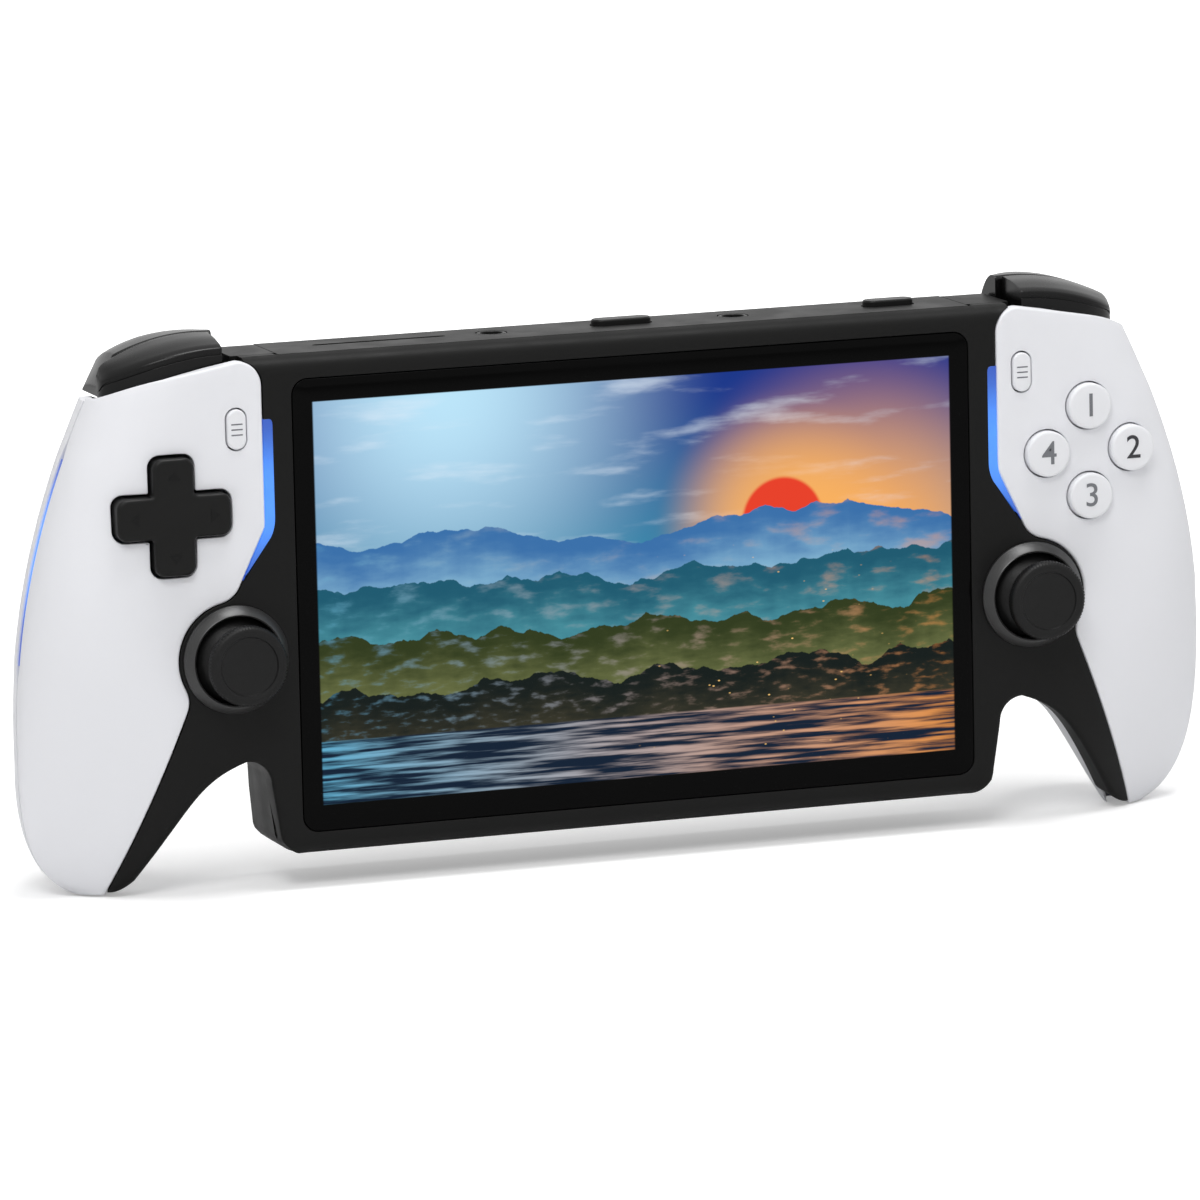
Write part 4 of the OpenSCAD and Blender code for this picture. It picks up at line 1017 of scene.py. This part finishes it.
def bumper_ring(x):
    past = max(0, x - shoulder_end + end_round) / end_round
    fall = end_round * (1 - math.sqrt(max(0, 1 - past * past)))
    f = panel_t + bumper_gap + panel_y(x + 1, panel_top - corner_drop) + fall / 2
    r, c, b = ridge_z(x) - fall, crown_z(x) - fall, bumper_back
    inner = min(f + bumper_t, b - 0.5)
    hollow = 0 if min(x - shoulder_in, shoulder_end - x) < end_wall else 1
    ring = [(f, bumper_skirt), (f, r - crease_low), (f + crease_d, r - crease_low),
            (f + crease_d, r - crease_high), (f, r - crease_high), (f, r),
            (lerp(f, b, 0.12), lerp(r, c, 0.3)), (lerp(f, b, 0.5), lerp(r, c, 0.78)),
            (b - 0.4, c), (b, c - 0.3)]
    under = ((0.3, b, c), (0.2, lerp(f, b, 0.55), lerp(r, c, 0.7)), (0.1, inner, r))
    ring += [(y, lerp(bumper_skirt + k, z - bumper_t, hollow)) for k, y, z in under]
    ring += [(inner, bumper_skirt)]
    sizes = (0.1, 0.12, 0.05, 0.05, 0.1, 0.35, 0.4, 2.5, 0.2, 0.2, 0.1, 1, 0.5, 0.1)
    return [Vector((x, y, z)) for y, z in rounded([Vector(p) for p in ring], sizes)]


def trigger_back(x):
    z = shell_top
    inner_x = leg_x(z) + gap
    xm = lerp(inner_x, outer_x(z), shell_apex)
    t = (x - xm) / (outer_x(z) - xm) if x > xm else (xm - x) / (xm - inner_x)
    low = seam_y(z) + seam_half(z) if x > xm else rim_y(leg_x(z), z)
    return lerp(low, back_y(z), max(0, 1 - t ** shell_n) ** (1 / shell_n)) - 0.3


def trigger_ring(x):
    f, b, g = bumper_back + trigger_gap, trigger_back(x), shell_top + 0.4
    c = min(crown_z(x), g + trigger_end_h + trigger_end_rise * (trigger_end - x))
    ring = [(f, g), (f, c - 0.5), (f + 0.5, c)]
    ring += [(lerp(f, b, t), lerp(c, g, fall)) for t, fall in (
        (0.3, 0), (0.55, 0.1), (0.78, 0.28), (0.93, 0.52), (1, 0.8), (1, 1))]
    sizes = (0.1, 0.3, 0.3, 2, 2, 2, 2, 1.5, 0.2)
    return [Vector((x, y, z)) for y, z in rounded([Vector(p) for p in ring], sizes)]


for side in ("left", "right"):
    for key, ring, x0, x1 in (("_bumper", bumper_ring, shoulder_in, shoulder_end),
                              ("_trigger", trigger_ring, arch_x + 0.6, trigger_end)):
        name = side + key
        rings = [ring(lerp(x0, x1, k / 48)) for k in range(49)]
        mesh = loft(name + ".piece", rings, side == "left")
        add(name + ".piece", mesh, gloss, name, [name], bevel=0.35, angle=55)


# Thumb sticks
def knurl(a, j):
    teeth, rows = 72, (9, 10, 11, 12, 13, 14, 15)
    if j not in rows:
        return 0
    return 0.1 * math.cos(teeth * a + math.pi * (j % 2))


cap_r, cap_low, cap_high = 6.4, pivot_y + 5.4, pivot_y + 7.8
cap_profile = [(dome_r * math.sin(math.radians(a)), dome_r * math.cos(math.radians(a)))
               for a in (65, 60, 54, 48, 42, 36, 30, 25)]
cap_rim = ((3.4, 0), (cap_r - 0.5, 0), (cap_r - 0.1, 0.4), (cap_r, 0.8), (cap_r, 1.2), (cap_r, 1.6))
cap_face = ((cap_r - 0.15, 0.35), (cap_r - 0.5, 0.08), (cap_r - 0.9, 0), (5.15, 0), (4.95, 0.12),
            (4.75, 0.14), (4.6, 0.42), (4.4, 0.5), (2.5, 0.5), (0.3, 0.5))
cap_profile += [(r, cap_low + h) for r, h in cap_rim] + [(r, cap_high - h) for r, h in cap_face]
collar_profile = [(7.1, 0), (7.1, 1.8), (7.2, 2.05), (7.4, 2.1), (7.6, 1.95), (8.5, 0.75), (8.68, 0.5),
                  (8.7, 0)]
for side, sign in (("left", -1), ("right", 1)):
    centre = (sign * stick_x, pivot_y, stick_z)
    mesh = lathe(side + "_stick_cap.piece", centre, cap_profile, 288, ripple=knurl)
    add(side + "_stick_cap.piece", mesh, rubber, side + "_stick_cap", [side + "_stick_cap"])
    mesh = lathe(side + "_stick_collar.piece", (sign * stick_x, 0, stick_z), collar_profile, 120)
    add(side + "_stick_collar.piece", mesh, collar_black, "case", [side + "_stick_collar"])


# Face buttons with a numeral each
face_rise = 1.2
button_top = [(face_d / 2 - 0.5 + 0.5 * math.sin(a), face_rise - 0.4 + 0.4 * math.cos(a))
              for a in (math.pi / 2 * k / 6 for k in range(7))]
button_profile = [(face_d / 2 + 0.8, -3.2), (face_d / 2 + 0.8, -2.6), (face_d / 2, -2.5)]
button_profile += button_top[::-1] + [(2, face_rise + 0.02), (0.2, face_rise + 0.03)]


def numeral(text, centre, height, y):
    """Mesh of a numeral on a face button."""
    glyph = bpy.data.curves.new("numeral", "FONT")
    glyph.body = text
    glyph.size = height / 0.7
    glyph.align_x, glyph.align_y = "CENTER", "CENTER"
    glyph.extrude = 0.05
    glyph.offset = 0.02
    glyph.resolution_u = 6
    obj = bpy.data.objects.new("numeral", glyph)
    bpy.context.scene.collection.objects.link(obj)
    bpy.context.view_layer.update()
    mesh = bpy.data.meshes.new_from_object(obj.evaluated_get(bpy.context.evaluated_depsgraph_get()))
    bpy.data.objects.remove(obj)
    mesh.transform(Matrix.Rotation(math.pi / 2, 4, "X"))
    for vert in mesh.vertices:
        vert.co = to_frame((vert.co.x + centre.x, vert.co.y + y, vert.co.z + centre.y))
    return mesh


for number, (spot, centre) in enumerate(zip(("top", "right", "bottom", "left"), face_at), 1):
    node = "face_button_" + spot
    mesh = lathe(node + ".piece", (centre.x, 0, centre.y), button_profile, 96)
    add(node + ".piece", mesh, key_white, node, [node])
    mesh = numeral(str(number), centre, 3.8, -face_rise - 0.03)
    add(node + ".numeral", mesh, mark_dark if spot == "right" else mark_grey, node)

# Pill buttons with three lines
pill_rise = 0.4
bar_w, bar_h, bar_pitch = 1.9, 0.22, 0.85
for side, sign in (("left", -1), ("right", 1)):
    node = side + "_menu_button"
    loop = pill_loop(sign * pill_x, pill_z, pill_w, pill_l)
    mesh = relief(node + ".piece", [loop], flat_face(-pill_rise), lambda p: 0.3, 3, 0.7)
    add(node + ".piece", mesh, key_white, node, [node])
    for k in (-1, 0, 1):
        x, z = sign * pill_x, pill_z + k * bar_pitch
        bar = round_rect(x - bar_w / 2, x + bar_w / 2, z - bar_h / 2, z + bar_h / 2, 0.1, 4)
        mesh = relief(node + ".bar", [bar], flat_face(-pill_rise - 0.03), lambda p: 0.01, 0.1, 0.3)
        add(node + ".bar" + str(k + 2), mesh, mark_grey, node)

# Cross key: dished in the middle, an arrow on each arm
dpad_rise, dish, dish_r = 1.6, 0.45, 4.2
arrow_shape = ((7.4, 0), (5.9, 1.1), (5.9, -1.1))


def dpad_point(x, z):
    r = math.hypot(x + dpad_x, z - dpad_z)
    return Vector((x, -dpad_rise + dish * math.exp(-(r / dish_r) ** 2), z))


mesh = relief("dpad.piece", [cross_loop(-dpad_x, dpad_z, dpad_span, dpad_arm, dpad_r, 0.5)], dpad_point,
              lambda p: 0.7, 5, 0.7, step=0.4)
add("dpad.piece", mesh, satin, "dpad", ["dpad"])
for k in range(4):
    swing = Matrix.Rotation(math.radians(90 * k), 2)
    arrow = [Vector((-dpad_x, dpad_z)) + swing @ Vector(p) for p in arrow_shape]
    mesh = relief("dpad.arrow", [arrow], flat_face(-dpad_rise - 0.02), lambda p: 0.01, 0.1, 0.4)
    add("dpad.arrow" + str(k + 1), mesh, mark_faint, "dpad")

# Nodes whose CAD shape is kept, with broken edges
polish("rear_cover", black, 0.2)
polish("top_strip", strip_black, 0.12)
for node in ("left_jack", "right_jack"):
    polish(node, satin, 0.2)
for node in ("volume_button", "power_button"):
    polish(node, satin, 0.35, 3)
polish("case_screws", steel, 0.15)

# Floor and light
stage_mat, tree, shader, place = start_material("floor")
shader.inputs["Base Color"].default_value = rgba(0.9, 0.9, 0.9)
shader.inputs["Roughness"].default_value = 0.9
shader.inputs["Specular IOR Level"].default_value = 0.0
glow = make(tree, "Emission", Color=rgba(1, 1, 1))
far = make(tree, "VectorMath", operation="LENGTH", i0=place).outputs["Value"]
fade = ramp(tree, far, 0.12, 0.7, 0.3, 0.9)
seen = make(tree, "LightPath").outputs["Is Camera Ray"]
put(tree, glow.inputs["Strength"], calc(tree, "MULTIPLY", seen, fade))
both = make(tree, "AddShader", i0=shader.outputs[0], i1=glow.outputs[0])
put(tree, tree.nodes["Material Output"].inputs["Surface"], both.outputs[0])
floor_mesh = bpy.data.meshes.new("floor")
reach = 4.0
corners = [(x * reach, y * reach, 0) for x, y in ((-1, -1), (1, -1), (1, 1), (-1, 1))]
floor_mesh.from_pydata(corners, [], [(0, 1, 2, 3)])
floor = bpy.data.objects.new("floor", floor_mesh)
floor_mesh.materials.append(stage_mat)
bpy.context.scene.collection.objects.link(floor)

world = bpy.data.worlds.new("studio")
bpy.context.scene.world = world
world.use_nodes = True
tree = world.node_tree
path = make(tree, "LightPath")
seen = calc(tree, "MAXIMUM", path.outputs["Is Camera Ray"], path.outputs["Is Glossy Ray"])
seen = calc(tree, "MAXIMUM", seen, path.outputs["Is Transmission Ray"])
sky_light = 0.442
backdrop = tree.nodes["Background"].inputs
put(tree, backdrop["Strength"], calc(tree, "MULTIPLY_ADD", seen, 1 - sky_light, sky_light))
backdrop["Color"].default_value = rgba(1, 1, 1)


def lamp(name, at, aim, size, power):
    data = bpy.data.lights.new(name, "AREA")
    data.shape = "DISK"
    data.size = size
    data.energy = power
    obj = bpy.data.objects.new(name, data)
    obj.location = at
    obj.rotation_euler = (Vector(aim) - Vector(at)).to_track_quat("-Z", "Y").to_euler()
    bpy.context.scene.collection.objects.link(obj)


lamp("key", (-0.5, -0.9, 1.1), (0, 0, 0.05), 0.6, 7.07)
lamp("top", (0.1, -0.15, 1.2), (0, 0, 0.05), 0.6, 7.95)

# Camera at the photograph's angle, aimed at the middle of the screen
azimuth, elevation, roll = (math.radians(a) for a in (-19.46, 9.47, 1.26))
distance = 1.469
focal_px, image_px = 9152, 1200
screen_px = (638.7, 578.4)
ca, sa, ce, se = math.cos(azimuth), math.sin(azimuth), math.cos(elevation), math.sin(elevation)
across, upward, back = Vector((ca, sa, 0)), Vector((-sa * se, ca * se, ce)), Vector((sa * ce, -ca * ce, se))
cam_x = across * math.cos(roll) - upward * math.sin(roll)
cam_y = across * math.sin(roll) + upward * math.cos(roll)
camera_data = bpy.data.cameras.new("camera")
camera_data.sensor_width = 36
camera_data.lens = camera_data.sensor_width * focal_px / image_px
camera_data.shift_x = (image_px / 2 - screen_px[0]) / image_px
camera_data.shift_y = (screen_px[1] - image_px / 2) / image_px
camera = bpy.data.objects.new("camera", camera_data)
camera.matrix_world = Matrix.Translation(to_frame((0, 0, 0)) + back * distance) @ Matrix(
    (cam_x, cam_y, back)).transposed().to_4x4()
bpy.context.scene.collection.objects.link(camera)
bpy.context.scene.camera = camera
bpy.context.scene.view_settings.view_transform = "Standard"
